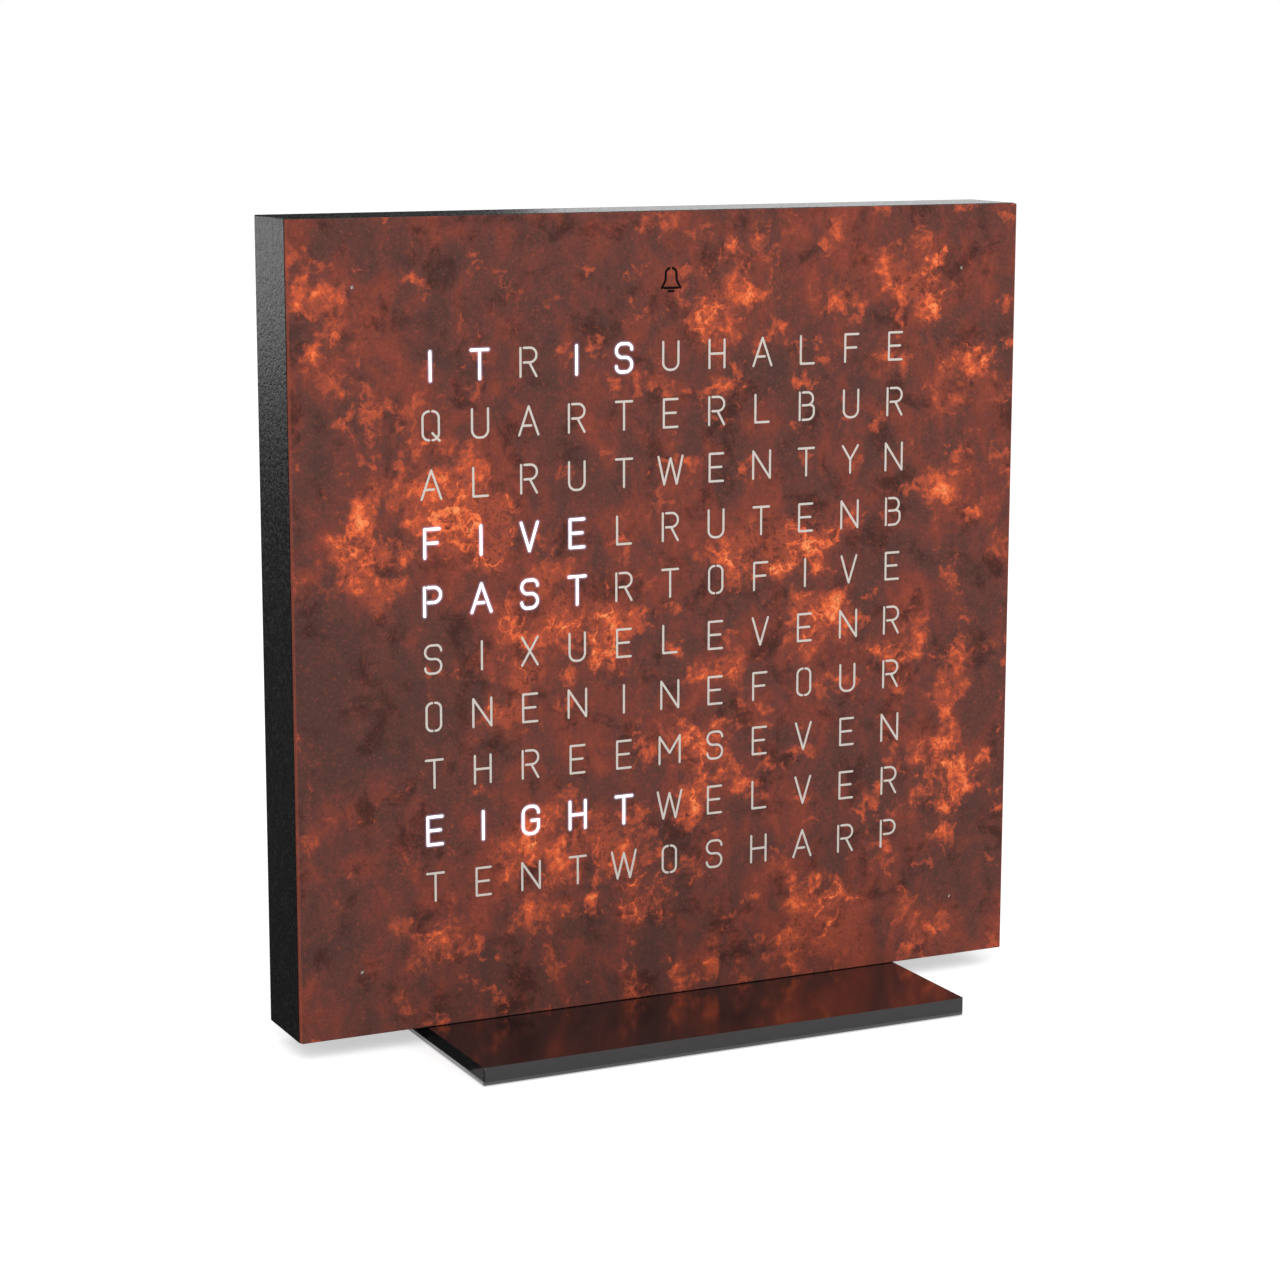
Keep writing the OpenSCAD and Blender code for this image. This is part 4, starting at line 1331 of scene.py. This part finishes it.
@dataclass(frozen=True)
class CrossScrew:
    """Pan-head screw with a cross recess and a cut thread, drawn head up along its own +Z."""

    length: float
    head: float = 3.6
    height: float = 0.9
    shank: float = 2.0
    pitch: float = 0.6
    thread_depth: float = 0.18
    recess: float = 2.0
    slot: float = 0.5
    depth: float = 0.5
    # Width of the recess at its floor, as a share of its width at the top
    taper: float = 0.86
    # How far the head's rim lies below its top, as a share of its height
    fall: float = 0.35
    # Rings that shape the dome, as shares of the head's diameter
    rings: tuple[float, ...] = (0.5, 0.42, 0.34)
    steps: int = 24
    snap: float = 1e-5

    def dome(self, radius: float) -> float:
        """Gives the head's height at a distance from its middle."""
        return self.height * (1 - self.fall * (2 * radius / self.head) ** 3)

    def cross(self) -> Line:
        """Gives the outline of the recess.

        Returns:
            The outline's points.
        """
        arm, half = self.recess / 2, self.slot / 2
        quarter = [Vector((arm, -half)), Vector((arm, half)), Vector((half, half))]
        return [Matrix.Rotation(QUARTER * turn, 2) @ point for turn in range(4) for point in quarter]

    def add_head(self, shape: BMesh) -> None:
        """Adds the domed head with its recess.

        Args:
            shape: The shape that it is added to, in the screw's own millimetres.
        """
        rings = [circle(Vector((0, 0)), self.head * share, self.steps) for share in self.rings]
        flat, cells, holders = flat_cells([*rings, self.cross()], self.snap)
        top = [shape.verts.new((*point, self.dome(point.length))) for point in flat]
        sunk: dict[int, BMVert] = {}
        walls: set[tuple[int, int]] = set()
        for cell, holder in zip(cells, holders):
            if len(rings) in holder:
                for index in cell:
                    if index not in sunk:
                        sunk[index] = shape.verts.new((*flat[index] * self.taper, self.height - self.depth))
                walls ^= {tuple(sorted(pair)) for pair in zip(cell, closed(cell)[1:])}
                shape.faces.new([sunk[index] for index in cell])
            else:
                shape.faces.new([top[index] for index in cell])
        for start, end in sorted(walls):
            shape.faces.new([top[start], top[end], sunk[end], sunk[start]])
        base = [shape.verts.new((*point, 0)) for point in rings[0]]
        shape.faces.new(base)
        stitch(shape, closed(top[:self.steps]), closed(base))

    def add_thread(self, shape: BMesh) -> None:
        """Adds the shank as one helical V thread.

        Args:
            shape: The shape that it is added to, in the screw's own millimetres.
        """
        turns = int(self.length / self.pitch) - 1
        root: list[BMVert] = []
        crest: list[BMVert] = []
        for step, way in enumerate(arc(Vector((0, 0)), 1, 0, math.tau * turns, self.steps * turns)):
            drop = -self.pitch * step / self.steps
            root.append(shape.verts.new((*way * (self.shank / 2 - self.thread_depth), drop)))
            crest.append(shape.verts.new((*way * self.shank / 2, drop - self.pitch / 2)))
        stitch(shape, root, crest)
        stitch(shape, crest[:-self.steps], root[self.steps:])
        tip = shape.verts.new((0, 0, -self.length))
        for start, end in zip(crest[-self.steps - 1:], crest[-self.steps:]):
            shape.faces.new([start, end, tip])

    def add(self, shape: BMesh, pose: Matrix) -> None:
        """Adds the whole screw.

        Args:
            shape: The shape that it is added to.
            pose: Its place, turn and scale there.
        """
        count = len(shape.verts)
        self.add_head(shape)
        self.add_thread(shape)
        shape.verts.ensure_lookup_table()
        bmesh.ops.transform(shape, matrix=pose, verts=shape.verts[count:])


@dataclass
class ScrewSet:
    """Four equal screws at the corners of a rectangle, which replace a node's plain ones."""

    node: str
    heads_back: bool = True
    # How far each screw's recess is turned, in degrees
    turns: tuple[float, ...] = (12, 71, 38, 55)

    def build(self) -> list[Object]:
        """Stands the screws where the node has them.

        Returns:
            The four screws, as one piece.
        """
        low, high = box(self.node)
        screw = CrossScrew(high.y - low.y - CrossScrew.height)
        seat = high.y - screw.height if self.heads_back else low.y + screw.height
        tilt = Matrix.Rotation(-QUARTER if self.heads_back else QUARTER, 4, "X")
        half = screw.head / 2
        places = [(across, seat, up) for across in (low.x + half, high.x - half)
                  for up in (low.z + half, high.z - half)]
        shape = bmesh.new()
        for place, turn in zip(places, self.turns):
            spin = Matrix.Rotation(math.radians(turn), 4, "Z")
            screw.add(shape, Matrix.Scale(MM, 4) @ Matrix.Translation(place) @ tilt @ spin)
        piece = add_piece(f"{self.node}_cut", shape, Look.STEEL, Body.BASE)
        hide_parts(self.node)
        return [piece]


@dataclass
class SmallMarks:
    """Gold contacts on the socket's tongue and the round marks at the chips' first legs."""

    contacts: int = 12
    contact_pitch: float = 0.5
    contact_size: Place = (0.28, 2.6, 0.02)
    tongue: float = 0.7
    tip_gap: float = 0.5
    mark_radius: float = 0.3
    mark_inset: float = 1.7
    mark_proud: float = 0.01
    mark_steps: int = 20

    def build(self) -> list[Object]:
        """Makes both kinds of marks."""
        return [add_piece("socket_contacts", self.contact_rows(), Look.GOLD, Body.BASE),
                add_piece("chip_marks", self.chip_marks(), Look.MARK, Body.BASE)]

    def contact_rows(self) -> BMesh:
        """Lays a row of contacts on each side of the tongue.

        Returns:
            Their shape.
        """
        low, high = box("socket_tongue")
        middle = (low + high) / 2
        size = Matrix.Diagonal((*self.contact_size, 1))
        _, length, thick = self.contact_size
        shape = bmesh.new()
        for side in (-1, 1):
            for index in range(self.contacts):
                place = Matrix.Translation((middle.x + (index - (self.contacts - 1) / 2) * self.contact_pitch,
                                            high.y - self.tip_gap - length / 2,
                                            middle.z + side * (self.tongue + thick) / 2))
                bmesh.ops.create_cube(shape, size=1, matrix=Matrix.Scale(MM, 4) @ place @ size)
        return shape

    def chip_marks(self) -> BMesh:
        """Prints a round mark near one corner of each of the three square chips.

        Returns:
            Their shape.
        """
        shape = bmesh.new()
        for node, count in (("diode_driver_chips", 2), ("processor_chip", 1)):
            low, high = box(node)
            for side in (low.x, high.x - (high.z - low.z))[:count]:
                place = Vector((side + self.mark_inset, high.y + self.mark_proud, high.z - self.mark_inset))
                pose = Matrix.Translation(place * MM) @ Matrix.Rotation(-QUARTER, 4, "X")
                bmesh.ops.create_circle(shape, cap_ends=True, radius=self.mark_radius * MM,
                                        segments=self.mark_steps, matrix=pose)
        return shape


@dataclass(frozen=True)
class Lamp:
    """A soft square lamp; its place and size are in metres and its power is in watts."""

    name: str
    place: Place
    size: float
    power: float


@dataclass(frozen=True)
class Screen:
    """A dark cloth or pale card, in metres, that only shows as a reflection."""

    name: str
    middle: Place
    size: Span
    look: Look = Look.FLAG
    upright: bool = False


@dataclass
class Studio:
    """Floor, screens, lamps and camera; the floor, the aim and the clip distance are in metres."""

    floor_radius: float = 6.0
    floor_steps: int = 64
    surround: float = 0.62
    aim: Place = (0, 0, 0.07)
    screens: tuple[Screen, ...] = (
        Screen("side_flag", (-0.6, 0.555, 0.0008), (1.1096, 1.29)),
        Screen("top_flag", (0.34, 2.4, 0.75), (1.4, 1.5), upright=True),
        Screen("front_card", (0.05, -0.0744, 0.0008), (0.3, 0.1), Look.CARD),
    )
    lamps: tuple[Lamp, ...] = (
        Lamp("key_lamp", (-0.7, -1.3, 1.3), 1.2, 14),
        Lamp("fill_lamp", (1.2, -1.0, 0.9), 1.4, 6),
    )
    lens: float = 88.99
    sensor: float = 36.0
    clip: float = 0.01
    place: Place = (-233.97, -482.28, 163.95)
    yaw: float = 25.681
    pitch: float = -10.506
    roll: float = 0.076

    def build(self) -> None:
        """Sets up everything that isn't part of the clock."""
        self.add_floor()
        for screen in self.screens:
            self.add_screen(screen)
        self.add_world()
        for lamp in self.lamps:
            self.add_lamp(lamp)
        self.add_camera()
        bpy.context.scene.view_settings.view_transform = "Standard"

    def add_floor(self) -> None:
        """Lays a wide round floor under the foot pads."""
        shape = bmesh.new()
        bmesh.ops.create_circle(shape, cap_ends=True, radius=self.floor_radius, segments=self.floor_steps)
        show("floor", shape, Look.FLOOR)

    def add_screen(self, screen: Screen) -> None:
        """Puts up one screen that only shows in what mirrors it.

        Args:
            screen: The screen.
        """
        shape = bmesh.new()
        tilt = Matrix.Rotation(QUARTER if screen.upright else 0, 4, "X")
        pose = Matrix.Translation(screen.middle) @ tilt @ Matrix.Diagonal((*screen.size, 1, 1))
        bmesh.ops.create_grid(shape, x_segments=1, y_segments=1, size=0.5, matrix=pose)
        shown = show(screen.name, shape, screen.look)
        shown.visible_camera = False
        shown.visible_diffuse = False
        shown.visible_shadow = False

    def add_world(self) -> None:
        """Makes a soft, even surround that the camera sees as white."""
        world = bpy.data.worlds.new("surround")
        world.use_nodes = True
        nodes = Nodes(world.node_tree)
        shade = nodes.tree.nodes["Background"].inputs
        nodes.feed(shade["Color"], WHITE)
        nodes.feed(shade["Strength"], nodes.step(nodes.seen(), (0, 1), (self.surround, 1)))
        bpy.context.scene.world = world

    def hang(self, name: str, data: bpy.types.ID, place: Vector, ahead: Vector, roll: float = 0.0) -> Object:
        """Puts a lamp or a camera in the scene.

        Args:
            name: Its name.
            data: Its own settings.
            place: Where it hangs, in metres.
            ahead: The way that it looks.
            roll: How far it is turned about that way, in degrees.

        Returns:
            The object.
        """
        hung = bpy.data.objects.new(name, data)
        turn = ahead.to_track_quat("-Z", "Y").to_matrix().to_4x4()
        hung.matrix_world = Matrix.Translation(place) @ turn @ Matrix.Rotation(math.radians(roll), 4, "Z")
        bpy.context.scene.collection.objects.link(hung)
        return hung

    def add_lamp(self, lamp: Lamp) -> None:
        """Hangs one lamp that looks at the middle of the panel.

        Args:
            lamp: The lamp.
        """
        data = bpy.data.lights.new(lamp.name, "AREA")
        data.size = lamp.size
        data.energy = lamp.power
        self.hang(lamp.name, data, Vector(lamp.place), Vector(self.aim) - Vector(lamp.place))

    def add_camera(self) -> None:
        """Stands the camera where the photograph was taken from."""
        data = bpy.data.cameras.new("camera")
        data.lens = self.lens
        data.sensor_width = self.sensor
        data.sensor_fit = "HORIZONTAL"
        data.clip_start = self.clip
        yaw, pitch = math.radians(self.yaw), math.radians(self.pitch)
        ahead = Vector((math.sin(yaw) * math.cos(pitch), math.cos(yaw) * math.cos(pitch), math.sin(pitch)))
        bpy.context.scene.camera = self.hang("camera", data, Vector(self.place) * MM, ahead, self.roll)


def main() -> None:
    """Builds and dresses the clock, reports each piece and sets up the studio."""
    logging.basicConfig(level=logging.INFO, format="%(message)s")
    face = FaceSheet()
    assemblies = (PlainNodes(), face, LitCells(face), ScrewSet("rear_cover_screws"),
                  ScrewSet("light_board_screws"), ScrewSet("control_board_screws", heads_back=False),
                  SmallMarks())
    for assembly in assemblies:
        for piece in assembly.build():
            LOG.info("%s: %d faces, %s", piece.name, len(piece.data.polygons), piece.data.materials[0].name)
    Studio().build()


if __name__ == "__main__":
    main()
